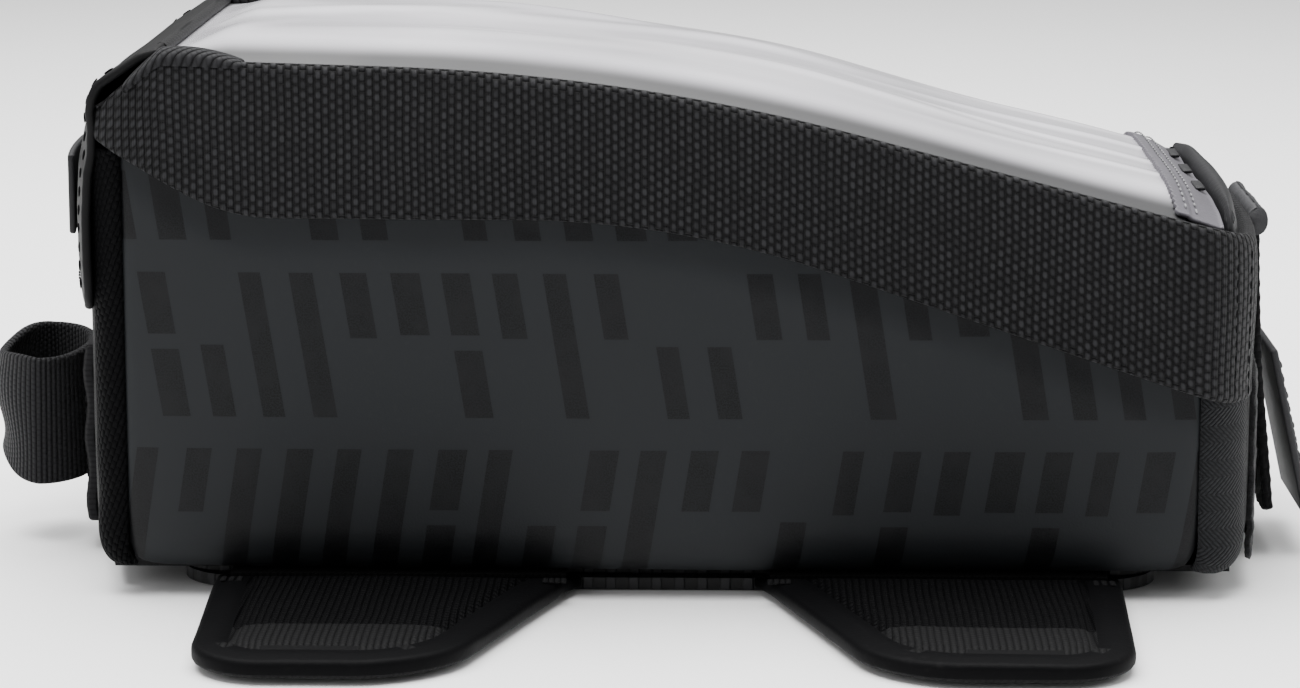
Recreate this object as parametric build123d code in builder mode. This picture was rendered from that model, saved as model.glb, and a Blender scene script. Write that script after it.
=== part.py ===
"""Magnetic motorcycle tank bag with a hinged phone-pocket lid.

Millimetres. +X points to the front, +Z up, and the right-hand side is -Y.
The origin is the centre of the base pad's underside.
"""

from build123d import *
import os
from math import cos, radians, sin, tan

# Plan outline of the body: straight sides, rounded corners and bowed ends
HALF_WIDTH = 54.0
FRONT_CORNER_X = 94.5
FRONT_CORNER_R = 12.0
FRONT_BOW_ANGLE = 8.0
REAR_CORNER_X = -98.4
REAR_CORNER_R = 6.0
REAR_BOW_ANGLE = 14.0

# Side view of the lid's top: level at the rear, then falling to the front
LID_START = (-103.0, 99.4)
LID_HEADING = -1.7
LID_RUNS = [(53.0, 0.0), (85.5, -13.0), (82.0, 0.0)]

# Wall layers, from the outside in
SKIN = 1.2
FOAM = 4.0
LINING = 0.8
END_WALL = 2.4
BOTTOM_Z = 3.4
BOTTOM_EDGE_R = 10.0
FLOOR_HALF_WIDTH = 44.0
WALL_TOP_DROP = 15.0
RIM_TOP_DROP = 12.8
REAR_WALL_TOP_Z = 84.6

# Lid layers, measured down from its top face
FILM = 0.6
POCKET_FLOOR_DROP = 8.6
BACKING_DROP = 9.4
STIFFENER_DROP = 11.4
LID_DROP = 12.2
LID_EDGE_GAP = 0.3
POCKET_HALF_WIDTH = 50.0
FILM_HALF_WIDTH = 52.0
POCKET_REAR_X = -91.0
TRIM_X = 92.2
TRIM_LENGTH = 7.4

# Skirt of the lid, hanging outside the walls
SKIRT_GAP = 0.5
SKIRT = 2.2
SKIRT_INNER_Y = HALF_WIDTH + SKIRT_GAP
SKIRT_FRONT_Z = 35.2
SKIRT_REAR = (-104.0, 87.5)
HINGE = (-104.5, 88.0)

# Rear flap that closes the phone pocket
FLAP_PIVOT = (-92.0, 100.2)
PIPING_R = 1.2
FLAP_HALF_WIDTH = 46.0
FLAP_BOTTOM_Z = 53.0
FLAP_SLOPE = 37.0
FLAP_INNER = 1.7
FLAP = 1.5

# Front closure tab
TAB_HALF_WIDTH = 17.0
TAB_START = (113.2, 67.0)
TAB_RUNS = [(25.0, 0.0), (12.0, 6.0), (20.0, 0.0)]
TAB_HEADING = -88.0
STRAP = 1.4

# Wings that hold the magnets
WING_HINGE_Y = 50.0
WING_ROOT_Y = 50.4
WING_TIP_Y = 110.0
WING_THICKNESS = 4.4
WING_BINDING = 3.5
WING_BACKING = 1.0

# Webbing loop at the rear
WEBBING = 25.0
LOOP_CENTRE = (-122.8, 0.0)
LOOP_RX = 8.0
LOOP_RY = 12.0
LOOP_STRAP = 1.6
LOOP_BOTTOM_Z = 13.0

FAR = 150.0

os.makedirs("parts", exist_ok=True)


def save(piece, name):
    """Label one finished piece and write it as its own STEP file."""
    piece.part.label = name
    export_step(piece.part, f"parts/{name}.step")


def polar(centre, radius, angle):
    return (centre[0] + radius * cos(radians(angle)), centre[1] + radius * sin(radians(angle)))


def outline(grow):
    """Closed plan outline of the body, moved outwards by grow."""
    ends = (
        (1, FRONT_CORNER_X, FRONT_CORNER_R, FRONT_BOW_ANGLE),
        (-1, REAR_CORNER_X, REAR_CORNER_R, REAR_BOW_ANGLE),
    )
    for side, corner_x, corner_r, bow in ends:
        radius = corner_r + grow
        low = (corner_x, corner_r - HALF_WIDTH)
        high = (corner_x, HALF_WIDTH - corner_r)
        aim = -bow if side > 0 else 180 + bow
        start = (corner_x, -HALF_WIDTH - grow)
        knee = polar(low, radius, aim)
        half = polar(low, radius, (aim - 90) / 2 if side > 0 else (270 + aim) / 2)
        bow_r = (HALF_WIDTH - corner_r) / sin(radians(bow)) + corner_r
        tip_x = corner_x + side * (bow_r - (bow_r - corner_r) * cos(radians(bow)) + grow)
        ThreePointArc(start, half, knee)
        ThreePointArc(knee, (tip_x, 0), (knee[0], -knee[1]))
        ThreePointArc((knee[0], -knee[1]), (half[0], -half[1]), (corner_x, HALF_WIDTH + grow))
    for y in (-HALF_WIDTH - grow, HALF_WIDTH + grow):
        Line((REAR_CORNER_X, y), (FRONT_CORNER_X, y))


def outline_block(grow, low_z, high_z, mode=Mode.ADD):
    """Upright block of the plan outline."""
    with BuildSketch(Plane.XY.offset(low_z)) as plan:
        with BuildLine():
            outline(grow)
        make_face()
    extrude(plan.sketch, amount=high_z - low_z, mode=mode)


def path_side(start, heading, runs, offset):
    """Corner points of a path moved to its left by offset: (point, middle of the arc that follows)."""
    x, z = start
    stops = []
    for length, turn in runs:
        normal = radians(heading + 90)
        here = (x + offset * cos(normal), z + offset * sin(normal))
        if turn:
            radius = length / radians(turn)
            centre = (x + radius * cos(normal), z + radius * sin(normal))
            half = polar(centre, offset - radius, heading + 90 + turn / 2)
            x, z = polar(centre, -radius, heading + 90 + turn)
        else:
            half = None
            x, z = x + length * cos(radians(heading)), z + length * sin(radians(heading))
        stops.append((here, half))
        heading += turn
    normal = radians(heading + 90)
    stops.append(((x + offset * cos(normal), z + offset * sin(normal)), None))
    return stops


def band(start, heading, runs, first, second):
    """Closed outline between two offsets of one path of straight runs and arcs."""
    one = path_side(start, heading, runs, first)
    two = path_side(start, heading, runs, second)
    for stops in (one, two):
        for (a, half), (b, _) in zip(stops, stops[1:]):
            if half:
                ThreePointArc(a, half, b)
            else:
                Line(a, b)
    Line(one[0][0], two[0][0])
    Line(one[-1][0], two[-1][0])


def both_sides(profile, half_width, mode=Mode.ADD):
    """Extrude a side-view sketch to both sides of the middle plane."""
    extrude(profile.sketch, amount=half_width, both=True, mode=mode)


def lid_layer(top_drop, bottom_drop, half_width, mode=Mode.ADD):
    """Sheet that follows the lid's top between two depths below it."""
    with BuildSketch(Plane.XZ) as profile:
        with BuildLine():
            band(LID_START, LID_HEADING, LID_RUNS, -top_drop, -bottom_drop)
        make_face()
    both_sides(profile, half_width, mode)


def keep_box(low, high, mode=Mode.INTERSECT):
    """Keep, or with another mode add or remove, the box between two corners."""
    size = [b - a for a, b in zip(low, high)]
    middle = [(a + b) / 2 for a, b in zip(low, high)]
    with Locations(Location(tuple(middle))):
        Box(*size, mode=mode)


def cut_above(drop):
    """Remove everything higher than drop below the lid's top."""
    lid_layer(drop - FAR, drop, FAR, Mode.SUBTRACT)


def rounded_section(inset, mode=Mode.INTERSECT):
    """Long block of the body's cross-section with rounded lower edges, inset evenly."""
    with BuildSketch(Plane.YZ) as section:
        with Locations((0, BOTTOM_Z + inset + FAR / 2)):
            RectangleRounded(2 * (HALF_WIDTH - inset), FAR, BOTTOM_EDGE_R - inset)
    extrude(section.sketch, amount=FAR, both=True, mode=mode)


def lid_top_z(x):
    """Height of the lid's top on its straight rear part."""
    return LID_START[1] + (x - LID_START[0]) * tan(radians(LID_HEADING))


# ---------------------------------------------------------------- body shell


def make_side_layer(name, side, outer, inner):
    """One layer of a long side wall, running round the lower edge to the floor."""
    with BuildPart() as layer:
        rounded_section(outer, Mode.ADD)
        rounded_section(inner, Mode.SUBTRACT)
        keep_box((REAR_CORNER_X, FLOOR_HALF_WIDTH, 0), (FRONT_CORNER_X, FAR, FAR))
        cut_above(WALL_TOP_DROP)
        if side < 0:
            mirror(about=Plane.XZ, mode=Mode.REPLACE)
    save(layer, name)


for side, hand in ((-1, "right"), (1, "left")):
    make_side_layer(f"side_panel_{hand}", side, 0, SKIN)
    make_side_layer(f"side_foam_{hand}", side, SKIN, SKIN + FOAM)

with BuildPart() as rear_panel:
    outline_block(0, BOTTOM_Z, REAR_WALL_TOP_Z)
    outline_block(-END_WALL, 0, FAR, Mode.SUBTRACT)
    rounded_section(0)
    keep_box((-FAR, -FAR, 0), (REAR_CORNER_X, FAR, FAR))
save(rear_panel, "rear_panel")

with BuildPart() as front_panel:
    outline_block(0, BOTTOM_Z, FAR)
    outline_block(-END_WALL, 0, FAR, Mode.SUBTRACT)
    rounded_section(0)
    keep_box((FRONT_CORNER_X, -FAR, 0), (FAR, FAR, FAR))
    cut_above(WALL_TOP_DROP)
save(front_panel, "front_panel")

with BuildPart() as bottom_panel:
    outline_block(-END_WALL, BOTTOM_Z, BOTTOM_Z + SKIN)
    keep_box((-FAR, -FLOOR_HALF_WIDTH, 0), (FAR, FLOOR_HALF_WIDTH, FAR))
save(bottom_panel, "bottom_panel")

with BuildPart() as base_board:
    outline_block(-END_WALL, BOTTOM_Z + SKIN, BOTTOM_Z + SKIN + FOAM)
    keep_box((REAR_CORNER_X, -FLOOR_HALF_WIDTH, 0), (FRONT_CORNER_X, FLOOR_HALF_WIDTH, FAR))
save(base_board, "base_board")

LINING_TOP_Z = REAR_WALL_TOP_Z - 2

with BuildPart() as lining_hollow:
    outline_block(-END_WALL - LINING, 0, FAR)
    rounded_section(SKIN + FOAM + LINING)

with BuildPart() as main_lining:
    outline_block(-END_WALL, 0, LINING_TOP_Z)
    rounded_section(SKIN + FOAM)
    cut_above(WALL_TOP_DROP)
    add(lining_hollow.part, mode=Mode.SUBTRACT)
save(main_lining, "main_lining")

RIM_REAR_X = -97.0
RIM_WIDTH = 5.0

with BuildPart() as mouth_binding:
    outline_block(0, 0, FAR)
    outline_block(-RIM_WIDTH, 0, FAR, Mode.SUBTRACT)
    keep_box((RIM_REAR_X, -FAR, 0), (FAR, FAR, FAR))
    lid_layer(RIM_TOP_DROP, WALL_TOP_DROP, FAR, Mode.INTERSECT)
save(mouth_binding, "mouth_binding")

BINDING = 1.4
REAR_BINDING = (-99.5, 5.0, 82.5)
FRONT_BINDING = (97.0, 5.0, 34.4)


def make_corner_binding(name, side, low, high):
    """Rounded rib of woven tape down one upright corner seam."""
    with BuildPart() as binding:
        outline_block(BINDING, low[2], high[2])
        outline_block(0, 0, FAR, Mode.SUBTRACT)
        keep_box(low, high)
        if side > 0:
            mirror(about=Plane.XZ, mode=Mode.REPLACE)
    save(binding, name)


for side, hand in ((-1, "right"), (1, "left")):
    rear_x, low_z, high_z = REAR_BINDING
    make_corner_binding(f"rear_binding_{hand}", side, (-FAR, -FAR, low_z), (rear_x, -47, high_z))
    front_x, low_z, high_z = FRONT_BINDING
    make_corner_binding(f"front_binding_{hand}", side, (front_x, -FAR, low_z), (FAR, -45.5, high_z))


def make_end_strip(name, thickness, low, high):
    """Strip sewn flat on the outside of an end panel."""
    with BuildPart() as strip:
        outline_block(thickness, low[2], high[2])
        outline_block(0, 0, FAR, Mode.SUBTRACT)
        keep_box(low, high)
    save(strip, name)


TETHER_STRIP = 2.5
make_end_strip("closure_loop_strip", 1.2, (100, -43, 7.5), (FAR, 43, 34.4))
make_end_strip("flap_loop_strip", 0.7, (-FAR, -30, 56), (-100, 30, 72))
make_end_strip("tether_strip", TETHER_STRIP, (-FAR, -17, 5.5), (-100, 17, 40))



def make_piping(name, centre, radius, half_width):
    """Round piping cord laid across the bag."""
    with BuildPart() as cord:
        with BuildSketch(Plane.XZ) as profile:
            with Locations(centre):
                Circle(radius)
        both_sides(profile, half_width)
    save(cord, name)


make_piping("hinge_piping", HINGE, 1.1, FLOOR_HALF_WIDTH)

# ---------------------------------------------------------------- base and wings

PAD_LENGTH = 182.0
PAD_EDGE_Y = 46.5
PAD_EDGE = 2.2
TAPE_Y = (42.5, 49.2)

with BuildPart() as base_pad:
    with BuildSketch():
        RectangleRounded(PAD_LENGTH, 2 * PAD_EDGE_Y, 12)
    extrude(amount=PAD_EDGE)
    with BuildSketch(Plane.XY.offset(PAD_EDGE)):
        RectangleRounded(PAD_LENGTH, 2 * TAPE_Y[0], 8)
    extrude(amount=BOTTOM_Z - PAD_EDGE)
save(base_pad, "base_pad")

WING_ROOT = (17.8, 82.0)
WING_CORNERS = ((79.5, 12.0), (38.3, 18.0))

with BuildPart() as wing_hinge_tape:
    for end in (-1, 1):
        for side in (-1, 1):
            middle = (end * sum(WING_ROOT) / 2, side * sum(TAPE_Y) / 2)
            with BuildSketch(Plane.XY.offset(PAD_EDGE)):
                with Locations(middle):
                    Rectangle(WING_ROOT[1] - WING_ROOT[0] - 2, TAPE_Y[1] - TAPE_Y[0])
            extrude(amount=BOTTOM_Z - PAD_EDGE)
save(wing_hinge_tape, "wing_hinge_tape")


def wing_face(end, side, inset):
    """Plan of one wing: straight outer edge, slanted inner edge, rounded tip."""
    outer, inner = WING_CORNERS
    with BuildLine() as edge:
        Polyline(
            (end * WING_ROOT[1], side * WING_ROOT_Y),
            (end * outer[0], side * WING_TIP_Y),
            (end * inner[0], side * WING_TIP_Y),
            (end * WING_ROOT[0], side * WING_ROOT_Y),
            close=True,
        )
    make_face(edge.line)
    for x, radius in WING_CORNERS:
        corner = vertices().sort_by_distance((end * x, side * WING_TIP_Y))[0]
        fillet(corner, radius)
    if inset:
        offset(amount=-inset, mode=Mode.REPLACE)


def make_wing(end, side, name):
    """One magnet wing: woven cover, soft backing, edge binding and sealed magnets."""
    with BuildPart() as wing_binding:
        with BuildSketch():
            wing_face(end, side, 0)
        extrude(amount=WING_THICKNESS)
        with BuildSketch():
            wing_face(end, side, WING_BINDING)
        extrude(amount=WING_THICKNESS, mode=Mode.SUBTRACT)
    save(wing_binding, f"{name}_binding")

    with BuildPart() as wing_backing:
        with BuildSketch():
            wing_face(end, side, WING_BINDING)
        extrude(amount=WING_BACKING)
    save(wing_backing, f"{name}_backing")

    magnet_places = [(end * 62, side * 84), (end * 56, side * 66)]
    with BuildPart() as wing_cover:
        with BuildSketch(Plane.XY.offset(WING_BACKING)):
            wing_face(end, side, WING_BINDING)
        extrude(amount=WING_THICKNESS - 0.3 - WING_BACKING)
        with BuildSketch(Plane.XY.offset(WING_BACKING)):
            with Locations(*magnet_places):
                Rectangle(26.4, 12.4)
        extrude(amount=2.2, mode=Mode.SUBTRACT)
    save(wing_cover, f"{name}_cover")

    with BuildPart() as wing_magnets:
        with BuildSketch(Plane.XY.offset(WING_BACKING)):
            with Locations(*magnet_places):
                Rectangle(26.0, 12.0)
        extrude(amount=2.0)
    save(wing_magnets, f"{name}_magnets")


for end, where in ((1, "front"), (-1, "rear")):
    for side, hand in ((-1, "right"), (1, "left")):
        make_wing(end, side, f"{where}_{hand}_wing")

# ---------------------------------------------------------------- lid

BEVEL_FOOT = (SKIRT_REAR[0], 92.0)
LID_REAR_X = LID_START[0]


def make_lid_sheet(name, top_drop, bottom_drop, rear_x=LID_REAR_X):
    """Sheet of the lid inside the skirt, from rear_x to the front."""
    with BuildPart() as sheet:
        lid_layer(top_drop, bottom_drop, FAR)
        outline_block(LID_EDGE_GAP, 0, FAR, Mode.INTERSECT)
        keep_box((rear_x, -FAR, 0), (FAR, FAR, FAR))
    save(sheet, name)


make_lid_sheet("pocket_backing", POCKET_FLOOR_DROP, BACKING_DROP)
make_lid_sheet("lid_stiffener", BACKING_DROP, STIFFENER_DROP)
make_lid_sheet("lid_lining", STIFFENER_DROP, LID_DROP)

with BuildPart() as window_film:
    lid_layer(0, FILM, FILM_HALF_WIDTH)
    keep_box((POCKET_REAR_X, -FAR, 0), (TRIM_X, FAR, FAR))
save(window_film, "window_film")

POCKET_END_X = 88.0

with BuildPart() as pocket_gusset:
    lid_layer(FILM, POCKET_FLOOR_DROP, HALF_WIDTH)
    keep_box((POCKET_REAR_X, -FAR, 0), (TRIM_X, FAR, FAR))
    keep_box((-FAR, -POCKET_HALF_WIDTH, 0), (POCKET_END_X, POCKET_HALF_WIDTH, FAR), Mode.SUBTRACT)
save(pocket_gusset, "pocket_gusset")

with BuildPart() as front_trim:
    lid_layer(-0.4, FILM, FILM_HALF_WIDTH)
    keep_box((TRIM_X, -FAR, 0), (TRIM_X + TRIM_LENGTH, FAR, FAR))
save(front_trim, "front_trim")

FRONT_FOAM_DROP = 4.6

make_lid_sheet("front_foam", FRONT_FOAM_DROP, POCKET_FLOOR_DROP, TRIM_X)

ROLL_R = 3.0
ROLL_Z = 67.0
ROLL_INSET = 3.4

with BuildPart() as front_roll:
    bow_r = (HALF_WIDTH - FRONT_CORNER_R) / sin(radians(FRONT_BOW_ANGLE)) + FRONT_CORNER_R
    tip_x = FRONT_CORNER_X + bow_r - (bow_r - FRONT_CORNER_R) * cos(radians(FRONT_BOW_ANGLE))
    roll_path = CenterArc((tip_x - bow_r, 0, ROLL_Z), bow_r - ROLL_INSET, -7, 14)
    with BuildSketch(Plane(roll_path @ 0, z_dir=roll_path % 0)):
        Circle(ROLL_R)
    sweep(path=roll_path)
save(front_roll, "front_roll")


def skirt_outline():
    """Side view of the skirt: follows the lid above and falls to the front below."""
    top = path_side(LID_START, LID_HEADING, LID_RUNS, 0)
    bevel_top = (-94.0, lid_top_z(-94.0))
    Line(SKIRT_REAR, BEVEL_FOOT)
    Line(BEVEL_FOOT, bevel_top)
    Line(bevel_top, top[1][0])
    ThreePointArc(top[1][0], top[1][1], top[2][0])
    Line(top[2][0], top[3][0])
    front = (top[3][0][0], SKIRT_FRONT_Z)
    Line(top[3][0], front)
    low = (front, (104.0, SKIRT_FRONT_Z), (2.0, 70.0), (-80.0, 70.6), SKIRT_REAR)
    FilletPolyline(*low, radius=(10.0, 120.0, 12.0))


with BuildPart() as skirt_block:
    with BuildSketch(Plane.XZ) as profile:
        with BuildLine():
            skirt_outline()
        make_face()
    both_sides(profile, FAR)


def make_skirt(name, low, high):
    """Part of the skirt between two corners of a box."""
    with BuildPart() as skirt:
        outline_block(SKIRT_GAP + SKIRT, 0, FAR)
        outline_block(SKIRT_GAP, 0, FAR, Mode.SUBTRACT)
        keep_box(low, high)
        add(skirt_block.part, mode=Mode.INTERSECT)
    save(skirt, name)


make_skirt("skirt_front", (FRONT_CORNER_X, -FAR, 0), (FAR, FAR, FAR))
for side, hand in ((-1, "right"), (1, "left")):
    with BuildPart() as side_skirt:
        with BuildSketch(Plane.XZ.offset(-side * SKIRT_INNER_Y)):
            with BuildLine():
                skirt_outline()
            make_face()
        extrude(amount=-side * SKIRT)
        keep_box((-FAR, -FAR, 0), (FRONT_CORNER_X, FAR, FAR))
    save(side_skirt, f"skirt_{hand}")

with BuildPart() as hinge_gusset:
    with BuildSketch(Plane.XZ) as profile:
        with BuildLine():
            Polyline(
                (POCKET_REAR_X, lid_top_z(POCKET_REAR_X) - 1),
                (POCKET_REAR_X, lid_top_z(POCKET_REAR_X) - POCKET_FLOOR_DROP),
                (LID_REAR_X, lid_top_z(LID_REAR_X) - POCKET_FLOOR_DROP),
                close=True,
            )
        make_face()
    both_sides(profile, HALF_WIDTH)
    keep_box((-FAR, -FLAP_HALF_WIDTH - 1, 0), (FAR, FLAP_HALF_WIDTH + 1, FAR), Mode.SUBTRACT)
save(hinge_gusset, "hinge_gusset")

with BuildPart() as rear_ears:
    with BuildSketch(Plane.XZ) as profile:
        with BuildLine():
            Polyline(
                (-93.0, lid_top_z(-93.0)),
                (-92.0, 101.4),
                (-87.0, 101.0),
                (-78.0, lid_top_z(-78.0)),
                close=True,
            )
        make_face()
    both_sides(profile, SKIRT_INNER_Y + SKIRT)
    keep_box((-FAR, -FILM_HALF_WIDTH, 0), (FAR, FILM_HALF_WIDTH, FAR), Mode.SUBTRACT)
save(rear_ears, "rear_ears")

# ---------------------------------------------------------------- rear flap

make_piping("flap_piping", FLAP_PIVOT, PIPING_R, FLAP_HALF_WIDTH)


def flap_block(grow, drop):
    """Rear end of the outline under the flap's slope, lowered by drop."""
    outline_block(grow, FLAP_BOTTOM_Z, FAR)
    top = (FLAP_PIVOT[0], FLAP_PIVOT[1] + 1.0 - drop)
    fall = FAR * tan(radians(FLAP_SLOPE))
    with BuildSketch(Plane.XZ) as profile:
        with BuildLine():
            Polyline(top, (top[0] - FAR, top[1] - fall), (top[0] - FAR, FAR), (top[0], FAR), close=True)
        make_face()
    both_sides(profile, FAR, Mode.SUBTRACT)
    keep_box((-FAR, -FLAP_HALF_WIDTH, 0), (FLAP_PIVOT[0] - PIPING_R, FLAP_HALF_WIDTH, FAR))


with BuildPart() as flap_hollow:
    flap_block(FLAP_INNER, FLAP / cos(radians(FLAP_SLOPE)))

with BuildPart() as flap_cover:
    flap_block(FLAP_INNER + FLAP, 0)
    add(flap_hollow.part, mode=Mode.SUBTRACT)
save(flap_cover, "flap_cover")


def make_flap_strip(name, inner, outer, low, high):
    """Strip on one face of the flap's hanging part."""
    with BuildPart() as strip:
        outline_block(outer, low[2], high[2])
        outline_block(inner, 0, FAR, Mode.SUBTRACT)
        keep_box(low, high)
    save(strip, name)


make_flap_strip("flap_hook_strip", 0.9, FLAP_INNER, (-FAR, -28, 56), (-100, 28, 71))
FLAP_OUTER = FLAP_INNER + FLAP
make_flap_strip("flap_patch", FLAP_OUTER, FLAP_OUTER + 1.0, (-FAR, -30, 66), (-100, 30, 79))

# ---------------------------------------------------------------- front tab


def make_tab_layer(name, start, heading, runs, first, second, half_width):
    """Layer of the closure tab between two offsets of its side-view path."""
    with BuildPart() as layer:
        with BuildSketch(Plane.XZ) as profile:
            with BuildLine():
                band(start, heading, runs, first, second)
            make_face()
        both_sides(profile, half_width)
    save(layer, name)


make_tab_layer("tab_strap", TAB_START, TAB_HEADING, TAB_RUNS, 0, STRAP, TAB_HALF_WIDTH)
HOOK_START = path_side(TAB_START, TAB_HEADING, TAB_RUNS, 0)[2][0]
HOOK_HEADING = TAB_HEADING + TAB_RUNS[1][1]
make_tab_layer("tab_hook_strip", HOOK_START, HOOK_HEADING, [(18.0, 0.0)], -1.0, 0, TAB_HALF_WIDTH - 1)
PATCH_START = (116.4, 39.5)
make_tab_layer("tab_patch", PATCH_START, -77.4, [(33.0, 0.0)], 0.6, 2.2, TAB_HALF_WIDTH - 1)

# ---------------------------------------------------------------- webbing loop

with BuildPart() as grab_loop:
    with BuildSketch(Plane.XY.offset(LOOP_BOTTOM_Z)):
        with Locations(LOOP_CENTRE):
            Ellipse(LOOP_RX, LOOP_RY)
            Ellipse(LOOP_RX - LOOP_STRAP, LOOP_RY - LOOP_STRAP, mode=Mode.SUBTRACT)
    extrude(amount=WEBBING)
save(grab_loop, "grab_loop")
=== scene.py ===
"""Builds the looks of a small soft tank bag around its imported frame.

Sizes in the shape code are millimetres; the mesh helpers turn them into metres.
X runs to the front of the bag, Z up, and -Y is its right-hand side."""

import math

import bmesh
import bpy
import numpy as np
from mathutils import Matrix, Vector, noise


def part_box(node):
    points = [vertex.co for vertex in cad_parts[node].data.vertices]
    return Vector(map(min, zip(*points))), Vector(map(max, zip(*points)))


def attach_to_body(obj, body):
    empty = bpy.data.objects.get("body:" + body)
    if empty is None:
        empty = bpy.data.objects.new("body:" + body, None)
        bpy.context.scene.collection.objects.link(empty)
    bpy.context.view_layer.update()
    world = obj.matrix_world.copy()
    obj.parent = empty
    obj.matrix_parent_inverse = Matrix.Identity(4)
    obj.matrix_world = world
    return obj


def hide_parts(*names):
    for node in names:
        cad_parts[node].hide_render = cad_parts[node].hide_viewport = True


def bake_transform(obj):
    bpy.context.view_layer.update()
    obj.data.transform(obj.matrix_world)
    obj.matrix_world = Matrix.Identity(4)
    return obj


bl_info = {
    "name": "Tank Bag Builder",
    "version": (1, 0, 0),
    "blender": (4, 5, 0),
    "location": "3D View > Sidebar > Tank Bag",
    "description": "Builds a soft motorcycle tank bag piece by piece",
    "category": "Object",
}

MM = 0.001
UP = (0, 0, 1)
BACKWARDS = (-1, 0, 0)
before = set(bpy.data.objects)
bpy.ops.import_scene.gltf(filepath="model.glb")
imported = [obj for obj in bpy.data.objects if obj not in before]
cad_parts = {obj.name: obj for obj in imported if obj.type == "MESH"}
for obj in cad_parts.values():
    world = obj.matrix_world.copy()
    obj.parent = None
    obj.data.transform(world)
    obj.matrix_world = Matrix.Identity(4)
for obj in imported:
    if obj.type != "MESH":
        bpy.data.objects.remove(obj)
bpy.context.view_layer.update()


def tone(red, green, blue):
    """A screen colour, 0 to 255 a channel, as the linear colour that shaders take."""
    channels = []
    for value in (red, green, blue):
        share = value / 255
        channels.append(share / 12.92 if share <= 0.04045 else ((share + 0.055) / 1.055) ** 2.4)
    return (*channels, 1.0)


# ---------------------------------------------------------------- the bag's own lines

REAR_CORNER = (-98.4, 48.0, 6.0)
FRONT_CORNER = (94.5, 42.0, 12.0)
REAR_BOW = 14.0
FRONT_BOW = 8.0
FLOOR_Z = 3.4
FLOOR_EDGE = 10.0
LID_START = (-103.0, 99.4)
LID_HEADING = -1.7
LID_REAR_RUN = 53.0
LID_CURVE_RUN = 85.5
LID_CURVE_TURN = -13.0
LID_FRONT_RUN = 82.0
FILM_HALF = 52.6
REAR_BOW_RADIUS = 204.4
FRONT_BOW_RADIUS = 313.8
FRONT_BOW_CENTRE_X = -204.3
BINDING_START = 5.4


def arc_points(centre, radius, start, stop, steps):
    """Points and outward directions along an arc, angles in degrees."""
    rows = []
    for step in range(steps + 1):
        angle = math.radians(start + (stop - start) * step / steps)
        across, up = math.cos(angle), math.sin(angle)
        rows.append((centre + radius * across, radius * up, across, up))
    return rows


def outline_table():
    """Half of the bag's plan outline, from the middle of the rear round the right side to the front."""
    rear_radius = REAR_CORNER[1] / math.sin(math.radians(REAR_BOW)) + REAR_CORNER[2]
    front_radius = FRONT_CORNER[1] / math.sin(math.radians(FRONT_BOW)) + FRONT_CORNER[2]
    rear_centre = REAR_CORNER[0] + REAR_CORNER[1] / math.tan(math.radians(REAR_BOW))
    front_centre = FRONT_CORNER[0] - FRONT_CORNER[1] / math.tan(math.radians(FRONT_BOW))
    rows = arc_points(rear_centre, rear_radius, 180, 180 + REAR_BOW, 24)
    for x, y, nx, ny in arc_points(REAR_CORNER[0], REAR_CORNER[2], 180 + REAR_BOW, 270, 16)[1:]:
        rows.append((x, y - REAR_CORNER[1], nx, ny))
    for x, y, nx, ny in arc_points(FRONT_CORNER[0], FRONT_CORNER[2], 270, 360 - FRONT_BOW, 20):
        rows.append((x, y - FRONT_CORNER[1], nx, ny))
    rows += arc_points(front_centre, front_radius, 360 - FRONT_BOW, 360, 24)[1:]
    table = np.array(rows)
    steps = np.hypot(np.diff(table[:, 0]), np.diff(table[:, 1]))
    return np.concatenate([[0.0], np.cumsum(steps)]), table


TRAVEL, OUTLINE = outline_table()
HALF_WAY = float(TRAVEL[-1])


def around(travel, grow=0.0):
    """(x, y) on the plan outline, grown outwards, at a distance round it from the middle of the rear."""
    travel %= 2 * HALF_WAY
    far = travel > HALF_WAY
    reach = 2 * HALF_WAY - travel if far else travel
    x, y, nx, ny = (float(np.interp(reach, TRAVEL, OUTLINE[:, column])) for column in range(4))
    side = -1.0 if far else 1.0
    return x + grow * nx, side * (y + grow * ny)


def travel_at(x):
    """The distance round the right side at which the outline has this x."""
    return float(np.interp(x, OUTLINE[:, 0], TRAVEL))


def bend_line(points, softness):
    """A height for any x along a line of runs whose corners are eased over softness each side."""
    slopes = [(b[1] - a[1]) / (b[0] - a[0]) for a, b in zip(points, points[1:])]

    def height(x):
        total = points[0][1] + slopes[0] * (x - points[0][0])
        for corner, before, after, ease in zip(points[1:], slopes, slopes[1:], softness):
            past = x - corner[0]
            if past >= ease:
                total += (after - before) * past
            elif past > -ease:
                total += (after - before) * (past + ease) ** 2 / (4 * ease)
        return total

    return height


def lid_line():
    """The lid's top line seen from the side, as arrays of x and height."""
    x, z, heading = *LID_START, LID_HEADING
    xs, zs = [x], [z]
    for run, turn, steps in (
        (LID_REAR_RUN, 0.0, 4), (LID_CURVE_RUN, LID_CURVE_TURN, 30), (LID_FRONT_RUN, 0.0, 6)
    ):
        for _ in range(steps):
            heading += turn / steps / 2
            x += run / steps * math.cos(math.radians(heading))
            z += run / steps * math.sin(math.radians(heading))
            heading += turn / steps / 2
            xs.append(x)
            zs.append(z)
    return np.array(xs), np.array(zs)


LID_X, LID_Z = lid_line()


def lid_top(x):
    """Height of the lid's top line at x."""
    return float(np.interp(x, LID_X, LID_Z))


def ease(value, low, high):
    """0 below low, 1 above high, smooth between."""
    share = min(max((value - low) / (high - low), 0.0), 1.0)
    return share * share * (3 - 2 * share)


def swell(share, power=0.5):
    """0 at both ends of 0 to 1 and 1 in the middle, fuller for a lower power."""
    return max(math.sin(math.pi * min(max(share, 0.0), 1.0)), 0.0) ** power


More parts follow.
